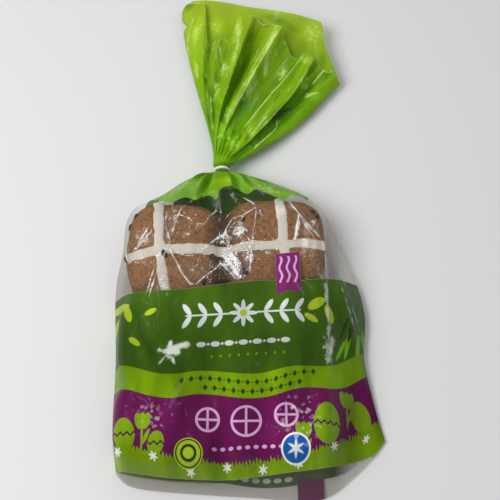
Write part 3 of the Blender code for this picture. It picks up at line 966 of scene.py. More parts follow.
def paint_rosette(art, middle, size, petals, colour):
    """A round flower whose petals widen outwards."""
    f = art.finish
    turn = f.maths("ARCTAN2", art.y - middle[1], art.x - middle[0])
    reach = size * (0.72 + 0.28 * f.maths("COSINE", turn * petals))
    art.paint(f.inside(reach - art.away(middle)), colour)


def rising(art, height, middle=PRINT_MIDDLE, slope=0.06):
    """How far a place is over a line across the front that rises a little to the right."""
    return art.y - height - (art.x - middle) * slope


def paint_garland(art):
    """A pale flower with a leafy stem to each side of it, over a row of beads and one of dots."""
    f = art.finish
    middle = (PRINT_MIDDLE, 7)
    y = rising(art, middle[1])
    out = abs(art.x - PRINT_MIDDLE)
    leaf = art.point(art.cell(out, 10.5, 16), abs(y))
    leaves = art.oval(leaf, (1.2, 4.4), (1.75, 4.9), -34) * art.within(out, 26.5, 15.7)
    stem = f.inside(0.6 - abs(y)) * art.within(out, 24, 15)
    art.paint(f.larger(leaves, stem), PALE)
    paint_rosette(art, middle, 9.5, 8, PALE)
    art.paint(art.oval(art.place, middle, (2.4, 2.4)), LIME_PALE)

    y, step = rising(art, -13.5), 9.4
    beads = art.beads(y, step, PRINT_MIDDLE, 7, (3.1, 1.8))
    dots = art.beads(y, step, PRINT_MIDDLE, 6, (0.9, 0.9), -step / 2)
    art.paint(f.larger(beads, dots), PALE)
    art.paint(art.beads(rising(art, -22), 6, 14, 9, (0.9, 0.9)), LIME_BAND)


def paint_sprigs(art):
    """Lime leaves at the dark band's two ends, and grass that leans in from its right."""
    leaves = (
        (-75, 16, 3.2, 8, 70), (-68, 8, 2.6, 7, 20), (-80, 2, 2.8, 7.5, -25), (-62, -13, 2.0, 4.6, 55),
        (-52, 8, 2.0, 4.4, -60), (61, 15, 3.4, 7.4, -50), (70, 9, 3.0, 6.6, 15), (57, 4, 2.2, 5.0, 60),
    )
    art.paint(art.ovals(leaves), LIME_PALE)
    blades = ((84, -6, 1.5, 14, -14), (91, -12, 1.6, 13, -6), (78, -14, 1.2, 9, -26), (97, -8, 1.4, 12, 8))
    art.paint(art.ovals(blades), LIME)
    shades = ((88, 8, 1.8, 16, -16), (81, 2, 1.2, 10, -24))
    art.paint(art.ovals(shades), DEEP_GREEN)


def paint_lozenges(art, line):
    """Two rows of small dark lozenges and dots along the lime band, over its lower line."""
    f = art.finish
    step = 6.2
    for height, middle, count in ((10.6, 14, 15), (4.4, 17.1, 11)):
        x, y = art.cell(art.x, step, middle), art.y - line - height
        lozenge = f.inside(1.7 - abs(x) - abs(y) * 0.8, 0.6)
        dots = art.beads(y, step, middle, count - 2, (0.55, 0.55), step / 2)
        art.paint(f.larger(lozenge, dots) * art.within(art.x, middle, count * step / 2), DEEP_GREEN)


def paint_bun_signs(art):
    """Three ringed crosses, as seen on top of buns, and a row of small ovals under them."""
    f = art.finish
    for x, y, radius in ((-12, -65, 7.2), (13, -66, 9.4), (39, -62, 7.2)):
        bars = f.inside(0.75 - f.smaller(abs(art.x - x), abs(art.y - y)))
        cross = bars * f.inside(radius - art.away((x, y)))
        art.paint(f.larger(art.ring((x, y), radius, 0.8), cross), LILAC)
    art.paint(art.beads(rising(art, -82.5, 14, 0.03), 5.4, 14, 9, (1.6, 1.15)), LILAC)


def paint_meadow(art, grass):
    """Tulips and painted eggs that stand in the grass, and the daisies along it."""
    f = art.finish
    eggs = (
        (-66, -74, 7.2, 10.5, 12), (66, -66, 9.2, 13.5, -6), (-45, -80, 5.2, 7.6, -10),
        (91, -58, 7.4, 11, 14),
    )
    art.paint(art.ovals(eggs), MEADOW)
    zigzag = abs(art.cell(art.x, 4.4))
    for x, y, wide, high, turn in eggs[:3]:
        stripe = f.inside(0.7 - abs(art.y - y - zigzag + 1.1))
        art.paint(stripe * art.oval(art.place, (x, y), (wide, high), turn), DEEP_PURPLE)
    for x, y in ((-54, -66), (81, -48), (50, -72)):
        petals = [art.oval(art.place, (x + side * 2.6, y), (2.4, 5.4), side * -14) for side in (-1, 0, 1)]
        stem = art.oval(art.place, (x, y - 10), (0.7, 9))
        leaf = art.oval(art.place, (x + 2.6, y - 10), (1.2, 5.2), -24)
        art.paint(f.larger(*petals, stem, leaf), MEADOW)

    tuft = abs(art.cell(art.x + art.y * 0.12, 2.3))
    ragged = f.noise(art.place, 0.33) * 7 - 3.5
    art.paint(f.inside(grass + ragged - tuft * 2.4 + 1.6 - art.y), LIME_BAND)
    art.paint(f.inside(grass + ragged - 4 - tuft * 2.4 - art.y), MEADOW)

    # Each daisy sits a little higher or lower, and is turned, by its number along the grass
    x = art.cell(art.x, DAISY_STEP, FIRST_DAISY)
    number = f.maths("FLOOR", (art.x - FIRST_DAISY) / DAISY_STEP + 0.5)
    y = art.y - grass - f.maths("SINE", number * 2.4) * 2.6 + 4
    away = f.vector("LENGTH", art.point(x, y), output=1)
    turn = f.maths("ARCTAN2", y, x)
    petals = f.inside(2.1 + f.maths("COSINE", turn * 6 + number) * 0.9 - away, 0.5)
    art.paint(petals, WHITE)


def paint_badges(art):
    """A ringed green disc, and a blue disc with a pale flower."""
    middle = (-24, -86)
    art.paint(art.oval(art.place, middle, (9.2, 9.2)), LIME_PALE)
    art.paint(art.finish.larger(art.ring(middle, 8.0, 0.45), art.ring(middle, 4.4, 0.9)), DEEP_GREEN)
    middle = (45, -83)
    art.paint(art.oval(art.place, middle, (9.6, 9.6)), WHITE)
    art.paint(art.oval(art.place, middle, (8.4, 8.4)), BLUE)
    for turn in (0, 60, 120):
        art.paint(art.oval(art.place, middle, (1.0, 5.6), turn), PALE)


def paint_tag(art):
    """A purple ribbon with a notched end, marked with three rising curls."""
    f = art.finish
    # The ribbon's own two directions, which lean a little, and its end, which is notched upwards
    x, y = art.x - 42 + (art.y - 34) * 0.03, art.y - 33 - art.x * 0.10
    end = -13.5 - abs(x) * 0.35
    shape = f.inside(8.6 - abs(x)) * f.inside(13.5 - y) * f.inside(y - end)
    art.paint(shape, TAG_PURPLE)
    curl = art.cell(x + f.maths("SINE", y * 0.55) * 0.9, 5.2)
    marks = f.inside(0.75 - abs(curl)) * f.inside(6.6 - abs(x))
    art.paint(marks * f.inside(9.5 - abs(y - 1.5)), LILAC)
    return shape


def paint_lime(art, painted_light_and_shade):
    """The loose end and the shoulder: yellower towards the mouth, with painted shade in the folds' valleys,
    painted light on their ridges, and the darkest green where the painted shade is strongest.
    """
    f = art.finish
    thin = f.noise(art.place, 0.035, 3, 0.6)
    art.paint(f.clamped((art.y - YELLOWER_AT) / 90 + (thin - 0.5) * 0.9), LIME_PALE)
    light_and_shade = painted_light_and_shade + (f.noise(art.place, 0.12, 3, 0.6) - 0.5) * 0.6
    art.paint(f.maths("MULTIPLY", light_and_shade, -0.95, clamp=True), LIME_SHADE)
    art.paint(f.maths("MULTIPLY", light_and_shade, 0.65, clamp=True), LIME_LIT)
    art.paint(f.maths("SUBTRACT", -1, light_and_shade, clamp=True), DARKEST_LIME_SHADE)


def paint_front(art, green_top, green_bottom):
    """The front's bands from the dark green one down, and what stands on them. Returns the ribbon's mask."""
    f = art.finish
    lime_bottom = art.edge(LIME_BOTTOM)
    art.paint(f.inside(green_top - art.y), DARK_GREEN)
    paint_garland(art)
    paint_sprigs(art)
    art.paint(f.inside(green_bottom - art.y), LIME_BAND)
    paint_lozenges(art, lime_bottom)
    art.paint(f.inside(lime_bottom - art.y), PURPLE)
    paint_bun_signs(art)
    paint_meadow(art, art.edge(GRASS_TOP))
    paint_badges(art)
    return paint_tag(art)


def paint_back(art, side):
    """The back: the front's bands, with a plain panel over its upper half and a strip round its bottom.

    Returns the masks of the panel, the strip and the strip's end, which are printed where the front is clear.
    """
    f = art.finish
    front_colour, wrap = art.colour, art.edge(WRAP_EDGE)
    panel = f.inside(PANEL_TOP - art.y) * art.within(art.x, -3, 40) * f.inside(art.y - 32)
    strip = f.inside(art.y - wrap) * f.inside(-80 - art.y) * art.within(art.x, 14, 74)
    strip_end = art.within(art.x, 56.5, 9) * f.inside(-97 - art.y)
    art.paint(f.larger(panel, strip), DARK_GREEN)
    art.paint(art.beads(art.y - wrap - 4.6, 7.4, 12, 9, (2.7, 1.7)), PALE)
    art.paint(strip_end, PURPLE)
    art.colour = f.mix(side, front_colour, art.colour)
    return panel, strip, strip_end


def film_glints(f, place, glint, crumple_sheen):
    """Painted glints where the film would mirror a light: broken lines along its creases, and painted glitter
    where the film crumples.
    """
    fine = f.noise(place, 0.9, 3, 0.6)
    facets = f.parts(f.add("TexVoronoi", None, 1, Vector=place, Scale=0.46, Randomness=1.0))[0]
    glitter = f.inside(facets - 1.09 + crumple_sheen * 0.66, 0.2) * f.clamped((fine - 0.30) * 3)
    blots = f.noise(place, 0.42, 4, 0.62)
    glitter = f.larger(glitter, f.inside(blots - 0.88 + crumple_sheen * 0.40, 0.05))
    glitter = glitter * f.clamped((crumple_sheen - 0.1) * 5)
    broken = f.noise(place, 0.16, 3, 0.6)
    gaps = (fine - 0.5) * 0.5 + (broken - 0.5) * 1.5
    line = f.inside(glint - 0.46 + gaps * f.maths("SUBTRACT", 1.15, glint, clamp=True), 0.4)
    return f.larger(glitter, line * f.maths("MULTIPLY", glint, 8, clamp=True))


def film_finish():
    """The printed film: opaque where it is printed, nearly invisible where it is clear, glossy all over."""
    f = Finish("film")
    sheet = f.add("Attribute", {"attribute_name": "print_place"}, 1)
    art = Print(f, f.vector("MULTIPLY", sheet, (1, 1, 0)), LIME)
    x, y = art.x, art.y
    side = f.parts(sheet)[2]
    front = 1 - side
    glint, painted_light_and_shade, crumple_sheen = f.parts(f.add("Attribute", {"attribute_name": "film_light"}, 1))
    shoulder, green_top, green_bottom, grass_bottom = (
        art.edge(edge) for edge in (SHOULDER_EDGE, GREEN_TOP, GREEN_BOTTOM, GRASS_BOTTOM)
    )

    paint_lime(art, painted_light_and_shade)
    ribbon = paint_front(art, green_top, green_bottom)
    back_shapes = paint_back(art, side)
    colour = art.colour

    band = f.inside(green_top - y) * f.inside(y - grass_bottom)
    lime_end, back_lime = f.inside(y - shoulder), f.inside(y - BACK_LIME_FROM)
    printed = f.larger(band, lime_end, ribbon) * front + f.larger(band, back_lime, *back_shapes) * side
    lime = f.larger(back_lime, lime_end * front)

    # Broad painted upright shading over the print, painted light high on the dark band and painted shade low
    # on it, the folds' painted light and shade, the shoulder's dull veil, and painted glare where the front
    # turns over its right edge
    upright = f.noise(f.vector("MULTIPLY", art.place, (1, 0.22, 0)), 0.045, 3, 0.5)
    colour = f.shaded(colour, 1 + (upright - 0.5) * (2.0 - lime * 1.4))
    print_light_and_shade = (y + 4) * 0.007 * f.inside(y - green_bottom) + painted_light_and_shade * 0.6
    colour = f.shaded(colour, 1 + print_light_and_shade * (1 - lime) * printed)
    streaks = f.noise(f.vector("MULTIPLY", art.place, (1, 0.4, 0)), 0.12, 4, 0.6)
    dulled = lime_end * front * f.inside(VEIL_TOP - y) * f.clamped((streaks - 0.45) * 1.2, 0.10)
    dulled = dulled * f.clamped((abs(x + 5) - 12) / 24, 0.3)
    colour = f.mix(dulled, colour, LIME_VEIL)
    # Painted glare where the front turns over its right edge
    turned = f.inside(x - 89 + y * 0.28, 2.5) * f.inside(36 - y, 6)
    colour = f.mix(turned * 0.30, colour, GREEN_GLARE)

    # Clear film looks grey where it hangs loose: at both sides and over the bottom fold
    left_side = f.clamped((-62 - x) / 14)
    right_side = f.clamped((x - 71) / 12)
    bottom = f.inside(grass_bottom - y)
    loose = f.larger(left_side, right_side * 0.3, bottom)
    tint = f.mix(bottom, f.mix(loose, CLEAR_TINT, LOOSE_TINT), BOTTOM_TINT)
    tint = f.mix(lime, tint, LIME_TINT)

    # How much of the film itself shows, rather than what lies under it
    shine = film_glints(f, art.place, glint, crumple_sheen)
    haze = f.noise(art.place, 0.05, 4)
    clear = 0.03 + haze * 0.05 + (loose - bottom) * 0.06 + crumple_sheen * 0.24
    # Painted glints show as pale film, and painted glare makes the clear film paler down its right side
    clear = clear + shine * 0.85 + right_side * 0.30
    opacity = f.smaller(f.larger(clear, printed * (0.985 - lime * 0.13)), 1.0)

    colour = f.shaded(colour, 0.90 + f.noise(art.place, 0.11, 5, 0.6) * 0.2)
    colour = f.mix(printed, VEIL, colour)
    # Painted sheen: paler where the film crumples
    colour = f.shaded(colour, 1 + crumple_sheen * 0.7)
    # Painted glints and glitter turn the film pale
    pale = shine * (0.88 - lime * 0.1 - printed * (1 - lime) * 0.1)
    colour = f.mix(pale, colour, f.mix(lime, GLINT, LIME_GLINT))
    crackle = f.noise(art.place, 0.30, 4, 0.6) + f.noise(art.place, 1.4, 3, 0.5) * 0.22
    skin = f.principled(
        Base_Color=colour,
        Roughness=0.10 + printed * 0.32,
        Metallic=(1 - printed) * (1 - shine) * (1 - bottom) * (1 - right_side),
        IOR=1.5,
        Specular_IOR_Level=0.05,
        Coat_Weight=0.34 - printed * (1 - lime) * 0.2,
        Coat_Roughness=0.10,
        Normal=f.bump(crackle * (0.12 + lime * 0.26 + printed * 0.06), 1.0, 1.0),
    )
    clear_film = f.add("BsdfTransparent", None, 0, Color=tint)
    return f.show(f.add("MixShader", None, 0, _0=opacity, _1=clear_film, _2=skin))


# ---------------------------------------------------------------- buns, crosses and fruit

def superellipse(turns, exponent):
    """How far the edge of a squared round is from its middle, at each angle given as a share of a turn."""
    across, along_y = np.abs(np.cos(2 * pi * turns)), np.abs(np.sin(2 * pi * turns))
    return (across**exponent + along_y**exponent) ** (-1 / exponent)


def make_buns():
    """Six soft square buns, baked together in two columns."""
    turns = np.arange(96) / 96
    edge = superellipse(turns, BUN_SQUARENESS)
    # From the middle of the underside, round the side, to the top: share of the half width, and height
    sides = [(0.02, 0.6), (0.5, 0.6), (0.86, 0.6), (0.945, 2.2), (0.978, 6), (0.995, 13), (1.0, 20)]
    for lift in np.linspace(0, 1, 16):
        out = 1 - lift**1.6 * 0.98
        dome = np.sqrt(max(0, 1 - out**BUN_SQUARENESS))
        sides.append((out, CRUST_TOP * (BUN_SHOULDER + (1 - BUN_SHOULDER) * dome)))
    points, faces = [], []
    for across, width, slip in BUN_COLUMNS:
        for down, length in BUN_ROWS:
            first = len(points)
            for out, height in sides:
                for turn, reach in zip(turns, edge):
                    x = across + width / 2 * out * reach * cos(2 * pi * turn)
                    y = slip + down + length / 2 * out * reach * sin(2 * pi * turn)
                    points.append((x, y, height))
            count = len(turns)
            faces += ring_faces(len(sides), count, first)
            faces.append(tuple(reversed(range(first, first + count))))
            faces.append(tuple(range(len(points) - count, len(points))))
    for low, high in JOINS:
        first = len(points)
        points += [(x, y, z) for z in (low[2], high[2]) for x, y in
                   ((low[0], low[1]), (high[0], low[1]), (high[0], high[1]), (low[0], high[1]))]
        faces += [tuple(first + i for i in face) for face in
                  ((3, 2, 1, 0), (4, 5, 6, 7), (0, 1, 5, 4), (1, 2, 6, 5), (2, 3, 7, 6), (3, 0, 4, 7))]
    buns = skinned(make_mesh("buns", np.array(points), faces=faces), 1.15, 10)

    # Low bumps and hollows in the crust, which fade out towards the flat underside
    mesh = buns.data
    place = np.empty(len(mesh.vertices) * 3, np.float32)
    mesh.vertices.foreach_get("co", place)
    place = place.reshape(-1, 3) / MM
    outward = np.empty(len(mesh.vertices) * 3, np.float32)
    mesh.vertices.foreach_get("normal", outward)
    swell = np.array([
        sum(size * noise.noise(Vector(p) / width) for size, width in ((1.5, 26), (0.7, 9), (0.28, 3.2)))
        for p in place
    ]) - 0.5
    swell *= smoothstep(place[:, 2] / 10)
    place += outward.reshape(-1, 3) * np.clip(swell, -2.2, 0.3)[:, None]
    mesh.vertices.foreach_set("co", (place * MM).astype(np.float32).ravel())
    mesh.update()
    mesh.shade_smooth()
    return buns


class Growth:
    """A Geometry Nodes tree in the making, which starts from its object's own mesh."""

    def __init__(self, name):
        self.tree = bpy.data.node_groups.new(name, "GeometryNodeTree")
        self.tree.interface.new_socket("Geometry", in_out="INPUT", socket_type="NodeSocketGeometry")
        self.tree.interface.new_socket("Geometry", in_out="OUTPUT", socket_type="NodeSocketGeometry")
        self.start = self.tree.nodes.new("NodeGroupInput")
        self.values = {}

    def given(self, name, kind, value):
        """A named input of the tree, and what it is set to on the object."""
        socket = self.tree.interface.new_socket(name, in_out="INPUT", socket_type="NodeSocket" + kind)
        self.values[socket.identifier] = value
        return self.start.outputs[name]

    def add(self, kind, settings=None, output=0, **sockets):
        """Adds a node. Its sockets take a value or another node's output."""
        prefix = "" if kind.startswith(("Function", "Shader")) else "GeometryNode"
        node = self.tree.nodes.new(prefix + kind)
        for name, value in (settings or {}).items():
            setattr(node, name, value)
        for name, value in sockets.items():
            socket = node.inputs[int(name[1:]) if name[0] == "_" else name.replace("_", " ")]
            if isinstance(value, bpy.types.NodeSocket):
                self.tree.links.new(value, socket)
            else:
                socket.default_value = value
        return node.outputs[output]

    def shape_of(self, thing):
        """Another object's mesh."""
        return self.add("ObjectInfo", {"transform_space": "ORIGINAL"}, 4, Object=thing)

    def dropped_on(self, shape):
        """Where a point lands that falls straight down on a mesh."""
        return self.add("Raycast", {"data_type": "FLOAT"}, 1, Target_Geometry=shape, Ray_Direction=DOWN)

    def grow(self, thing, geometry, material):
        """Finishes the tree with one material, and turns the object into the plain mesh that it makes."""
        whole = self.add("RealizeInstances", Geometry=geometry)
        whole = self.add("SetMaterial", Geometry=whole, Material=material)
        end = self.tree.nodes.new("NodeGroupOutput")
        self.tree.links.new(whole, end.inputs[0])
        modifier = thing.modifiers.new("growth", "NODES")
        modifier.node_group = self.tree
        for name, value in self.values.items():
            modifier[name] = value
        return applied(thing)


# Where the lines of paste run over the tops: along the columns and across the rows
PASTE_WIDTH = 8.4
PASTE_LINES = (
   
    (
        (-50.5, 97), (-50.3, 88), (-49.2, 73), (-47.4, 53.4), (-44.5, 34), (-43, 20), (-44.5, -20),
        (-46.5, -60), (-45, -84),
    ),
    ((35.5, 98.5), (37, 92), (38.4, 76), (39.3, 57.8), (40, 36), (38, -10), (38.5, -50), (37, -82)),
    (
        (-74.5, 47), (-67, 49.5), (-47.4, 53.4), (-25, 55), (0, 55.7), (16, 57), (39.3, 57.8), (58, 59.5),
        (68.8, 60),
    ),
    ((-66, -6), (-50, -4), (-20, -3), (5, 2), (35, 5), (62, 3)),
    ((-66, -64), (-44, -62), (-10, -60), (36, -56), (62, -58)),
)
DROP_FROM = 70


def make_crosses(buns, material):
    """Flour paste piped over the buns in crossing lines: each follows the crust and bridges the grooves."""
    points, edges = [], []
    for line in PASTE_LINES:
        first = len(points)
        run = along(line, 90)
        points += [(x, y, DROP_FROM) for x, y in run]
        edges += [(first + i, first + i + 1) for i in range(len(run) - 1)]
    crosses = make_mesh("crosses", np.array(points), edges)

    g = Growth("piped paste")
    crust = g.given("Crust", "Object", buns)
    half_width = g.given("Half width", "Float", PASTE_WIDTH / 2 * MM)
    lines = g.add("MeshToCurve", Mesh=g.start.outputs["Geometry"])
    lines = g.add("ResampleCurve", {"mode": "LENGTH"}, Curve=lines, Length=1.6 * MM)
    place = g.add("InputPosition")
    wander = g.add("ShaderNodeTexNoise", None, 1, Vector=place, Scale=70.0, Detail=2.0)
    wander = g.add("ShaderNodeVectorMath", {"operation": "SUBTRACT"}, 0, _0=wander, _1=(0.5, 0.5, 0.5))
    wander = g.add("ShaderNodeVectorMath", {"operation": "MULTIPLY"}, 0, _0=wander, _1=(3 * MM, 3 * MM, 0))
    lines = g.add("SetPosition", Geometry=lines, Offset=wander)
    crust_mesh = g.shape_of(crust)
    landing = g.dropped_on(crust_mesh)
    missed = g.add("FunctionNodeBooleanMath", {"operation": "NOT"}, 0, _0=landing.node.outputs[0])
    lines = g.add("DeleteGeometry", Geometry=lines, Selection=missed)
    landed = g.add("ShaderNodeSeparateXYZ", None, 2, _0=landing)
    level = g.add("BlurAttribute", {"data_type": "FLOAT"}, 0, Value=landed, Iterations=12, Weight=0.9)
    level = g.add("ShaderNodeMath", {"operation": "MAXIMUM"}, 0, _0=level, _1=landed)
    over = landed.node.outputs
    spot = g.add("ShaderNodeCombineXYZ", None, 0, _0=over[0], _1=over[1], _2=level)
    lines = g.add("SetPosition", Geometry=lines, Position=spot, Offset=(0, 0, -0.4 * MM))
    swell = g.add("ShaderNodeTexNoise", None, 0, Vector=place, Scale=90.0, Detail=3.0)
    swell = g.add("ShaderNodeMapRange", None, 0, Value=swell,
                  From_Min=0.3, From_Max=0.7, To_Min=0.82, To_Max=1.16)
    radius = g.add("ShaderNodeMath", {"operation": "MULTIPLY"}, 0, _0=swell, _1=half_width)
    lines = g.add("SetCurveNormal", {"mode": "Z_UP"}, Curve=lines)
    lines = g.add("SetCurveRadius", Curve=lines, Radius=radius)
    round_profile = g.add("CurvePrimitiveCircle", {"mode": "RADIUS"}, Resolution=18, Radius=1.0)
    profile_curve = g.add("Transform", Geometry=round_profile, Scale=(1.0, 0.30, 1.0))
    bead = g.add("CurveToMesh", Curve=lines, Profile_Curve=profile_curve, Fill_Caps=True, Scale=radius)
    crosses = skinned(g.grow(crosses, bead, material), 0.75, 5)
    crosses.data.shade_smooth()
    return crosses


# Places over the block from which fruit that shows is dropped on the crust
CHOSEN_FRUIT = (
    (-17, 33), (-12, 30), (-9, 34), (-15, 27), (-4, 33), (-6, 28), (-71.5, 80), (-70, 76), (-66, 83),
    (63, 82), (60, 85), (-26, 93), (-16, 95), (-1, 88), (-5, 80), (-30, 94),
)


def make_raisin(material):
    """One wrinkled raisin, a metre from its middle to its ends until it is scaled down where it grows."""
    mesh = bmesh.new()
    bmesh.ops.create_icosphere(mesh, subdivisions=3, radius=1)
    for vertex in mesh.verts:
        way = vertex.co.copy()
        dent = noise.noise(way * 1.6 + Vector((3, 1, 7))) * 0.5 + abs(noise.noise(way * 4.2)) * 0.3
        vertex.co = Vector((way.x, way.y * 0.72, way.z * 0.6)) * (1 - dent * 0.6)
    data = bpy.data.meshes.new("raisin")
    mesh.to_mesh(data)
    mesh.free()
    data.shade_smooth()
    data.materials.append(material)
    return placed("raisin", data)


def make_fruit(buns, material):
    """Raisins set in the crust: some at chosen places and some scattered over the buns."""
    raisin = make_raisin(material)
    fruit = make_mesh("fruit", np.array([(x, y, DROP_FROM) for x, y in CHOSEN_FRUIT]))

    g = Growth("fruit in the crust")
    crust = g.given("Crust", "Object", buns)
    one = g.given("Raisin", "Object", raisin)
    spread = g.given("Least distance", "Float", 24 * MM)
    crust_mesh = g.shape_of(crust)
    landing = g.dropped_on(crust_mesh)
    seeds = g.start.outputs["Geometry"]
    chosen = g.add("SetPosition", Geometry=seeds, Position=landing, Offset=(0, 0, -1.6 * MM))
    chosen = g.add("MeshToPoints", Mesh=chosen)
    scattered = g.add("DistributePointsOnFaces", {"distribute_method": "POISSON"}, 0, Mesh=crust_mesh,
                      Distance_Min=spread, Density_Max=1600.0, Density_Factor=0.5, Seed=12)
    outward = scattered.node.outputs["Normal"]
    height = g.add("ShaderNodeSeparateXYZ", None, 2, Vector=g.add("InputPosition"))
    less = {"data_type": "FLOAT", "operation": "LESS_THAN"}
    low = g.add("FunctionNodeCompare", less, 0, _0=height, _1=9 * MM)
    scattered = g.add("DeleteGeometry", Geometry=scattered, Selection=low)
    sunk = g.add("ShaderNodeVectorMath", {"operation": "SCALE"}, 0, _0=outward, Scale=-1.3 * MM)
    scattered = g.add("SetPosition", Geometry=scattered, Offset=sunk)
    spots = g.tree.nodes.new("GeometryNodeJoinGeometry")
    for source in (chosen, scattered):
        g.tree.links.new(source, spots.inputs[0])
    turn = g.add("FunctionNodeRandomValue", {"data_type": "FLOAT_VECTOR"}, 0,
                 Min=(-0.4, -0.4, 0), Max=(0.4, 0.4, 6.3), Seed=2)
    size = g.add("FunctionNodeRandomValue", {"data_type": "FLOAT"}, 1, _2=1.9 * MM, _3=3.3 * MM, Seed=3)
    fewer = {"data_type": "INT", "operation": "LESS_THAN"}
    is_chosen = g.add("FunctionNodeCompare", fewer, 0, _2=g.add("InputIndex"), _3=len(CHOSEN_FRUIT))
    larger = g.add("ShaderNodeMath", {"operation": "MULTIPLY_ADD"}, 0, _0=is_chosen, _1=0.55, _2=1.0)
    size = g.add("ShaderNodeMath", {"operation": "MULTIPLY"}, 0, _0=size, _1=larger)
    grown = g.add("InstanceOnPoints", Points=spots.outputs[0], Instance=g.shape_of(one),
                  Rotation=turn, Scale=size)
    fruit = g.grow(fruit, grown, material)
    bpy.data.objects.remove(raisin, do_unlink=True)
    fruit.data.shade_smooth()
    return fruit


def crust_finish():
    """Matte, mottled brown crust with open pores, painted shade where two buns meet, and paler down the
    sides.
    """
    f = Finish("crust")
    place = f.add("TexCoord", None, 3)
    broad = f.noise(place, 22.0, 4, 0.6)
    middling = f.noise(place, 140.0, 4, 0.65)
    fine = f.noise(place, 420.0, 4, 0.7)
    flecks = f.noise(place, 950.0, 3, 0.6)
    across, _, height = f.parts(place)
    crown = f.clamped((height - 0.024) * 55)
    colour = f.mix(crown, srgb(168, 124, 82), srgb(153, 105, 62))
    for clouds, least, steepness, shade in (
        (broad, 0.42, 2.4, (158, 110, 68)), (middling, 0.50, 2.6, (112, 74, 42)),
        (fine, 0.52, 6, (84, 52, 28)), (flecks, 0.54, 7, (190, 150, 108)),
    ):
        colour = f.mix(f.clamped((clouds - least) * steepness), colour, srgb(*shade))
    # Painted shade down the groove between the two columns, below the tops
    groove = abs(across - float(BLOCK[0] + GROOVE_AT) * MM)
    groove = f.clamped(1.1 - groove / 0.013) * f.clamped((0.0405 - height) * 200)
    colour = f.mix(groove * 0.85, colour, srgb(58, 36, 20))
    crumb = fine * 0.5 + flecks * 0.3 + broad * 0.4 + middling * 0.5
    return f.show(f.principled(Base_Color=colour, Roughness=0.86, IOR=1.35, Normal=f.bump(crumb, 1.0, 1.5)))


def paste_finish():
    """Baked flour paste: off-white, faintly scorched in places."""
    f = Finish("paste")
    place = f.add("TexCoord", None, 3)
    scorched = f.clamped((f.noise(place, 60.0, 4, 0.6) - 0.55) * 3)
    colour = f.mix(scorched, srgb(230, 221, 208), srgb(212, 197, 175))
    grain = f.noise(place, 700.0, 3, 0.6)
    return f.show(f.principled(Base_Color=colour, Roughness=0.72, Normal=f.bump(grain, 0.4, 0.4)))


def fruit_finish():
    """Dark, slightly shiny dried fruit."""
    f = Finish("fruit")
    place = f.add("TexCoord", None, 3)
    patches = f.noise(place, 260.0, 3)
    colour = f.mix(patches, srgb(34, 14, 8), srgb(72, 37, 20))
    return f.show(f.principled(Base_Color=colour, Roughness=0.42, Normal=f.bump(patches, 0.5, 0.6)))


def tie_finish():
    """White glossy plastic."""
    f = Finish("tie_plastic")
    return f.show(f.principled(Base_Color=(0.82, 0.84, 0.80, 1), Roughness=0.32))


# ---------------------------------------------------------------- floor, light and camera

CAMERA_ELEVATION = radians(68)
CAMERA_DISTANCE = 650
CAMERA_TARGET = np.array((15.5, 70, 0))
SENSOR = 36
FOCAL_SHARE = 867 / 500
WORLD_STRENGTH = 0.30
# Half the floor's side, in metres
FLOOR_HALF = 2.5
LIT_MIDDLE = (10, 60, 20)
KEY_PLACE = (-700, -150, 1000)
KEY_SIZE = (650, 650)
KEY_POWER = 9.4
# Narrow lights where tilted facets of film mirror them into the camera
STRIPS = (
    (-414, 412, 932), (414, 412, 932), (-700, 400, 780), (700, 400, 780), (120, -100, 1150),
    (0, 780, 720),
)
STRIP_SIZE = (34, 340)
STRIP_POWER = 0.3


def set_stage():
    """A pale floor under the bag."""
    data = bpy.data.meshes.new("floor")
    corners = [(x * FLOOR_HALF, y * FLOOR_HALF, 0) for x, y in ((-1, -1), (1, -1), (1, 1), (-1, 1))]
    data.from_pydata(corners, [], [(0, 1, 2, 3)])
    f = Finish("floor")
    data.materials.append(f.show(f.principled(Base_Color=(0.86, 0.86, 0.86, 1), Roughness=0.9)))
    floor = placed("floor", data)
    floor.location.z = CAD_BOX[0].z


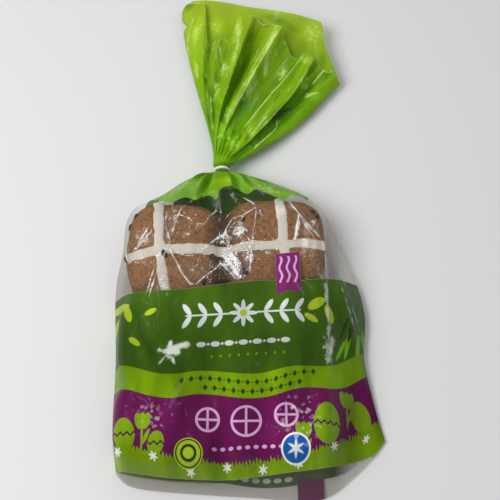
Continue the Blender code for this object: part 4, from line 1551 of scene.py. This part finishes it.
def aimed(name, data, place, target):
    """Puts a light or a camera at a place over the block and turns it to a target."""
    thing = placed(name, data)
    thing.location = Vector((np.array(place) + BLOCK) * MM)
    thing.rotation_euler = Vector(np.array(target) - np.array(place)).to_track_quat("-Z", "Y").to_euler()
    return thing


def add_softbox(name, place, target, size, power, mirrored=True):
    """A flat lamp. One that isn't mirrored lights the film but doesn't glint on it."""
    data = bpy.data.lights.new(name, "AREA")
    data.shape, data.size, data.size_y = "RECTANGLE", size[0] * MM, size[1] * MM
    data.energy = power
    aimed(name, data, place, target).visible_glossy = mirrored


def light_scene():
    """One broad soft light from above and narrow ones that draw the glints on the film."""
    world = bpy.data.worlds.new("studio")
    world.use_nodes = True
    sky = world.node_tree.nodes["Background"].inputs
    sky["Color"].default_value = (1, 1, 1, 1)
    sky["Strength"].default_value = WORLD_STRENGTH
    bpy.context.scene.world = world
    add_softbox("key", KEY_PLACE, LIT_MIDDLE, KEY_SIZE, KEY_POWER, mirrored=False)
    for number, place in enumerate(STRIPS):
        add_softbox(f"strip_{number}", place, LIT_MIDDLE, STRIP_SIZE, STRIP_POWER)


def place_camera():
    """The camera over the bag, which looks down and away from its bottom."""
    data = bpy.data.cameras.new("camera")
    data.sensor_width = SENSOR
    data.lens = SENSOR * FOCAL_SHARE
    back = np.array((0, -cos(CAMERA_ELEVATION), sin(CAMERA_ELEVATION)))
    camera = aimed("camera", data, CAMERA_TARGET + back * CAMERA_DISTANCE, CAMERA_TARGET)
    bpy.context.scene.camera = camera


# ---------------------------------------------------------------- the scene

place_camera()
light_scene()
set_stage()
bpy.context.scene.view_settings.view_transform = "Standard"
bpy.context.scene.cycles.transparent_max_bounces = 16

film_bag = make_film()
film_bag.data.materials.append(film_finish())
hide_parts("bag")

crust = crust_finish()
buns = make_buns()
buns.data.materials.append(crust)
crosses = make_crosses(buns, paste_finish())
fruit = make_fruit(buns, fruit_finish())

for piece in (film_bag, buns, crosses, fruit):
    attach(piece, "root")

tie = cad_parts["tie"]
for slot in tie.material_slots:
    slot.material = tie_finish()
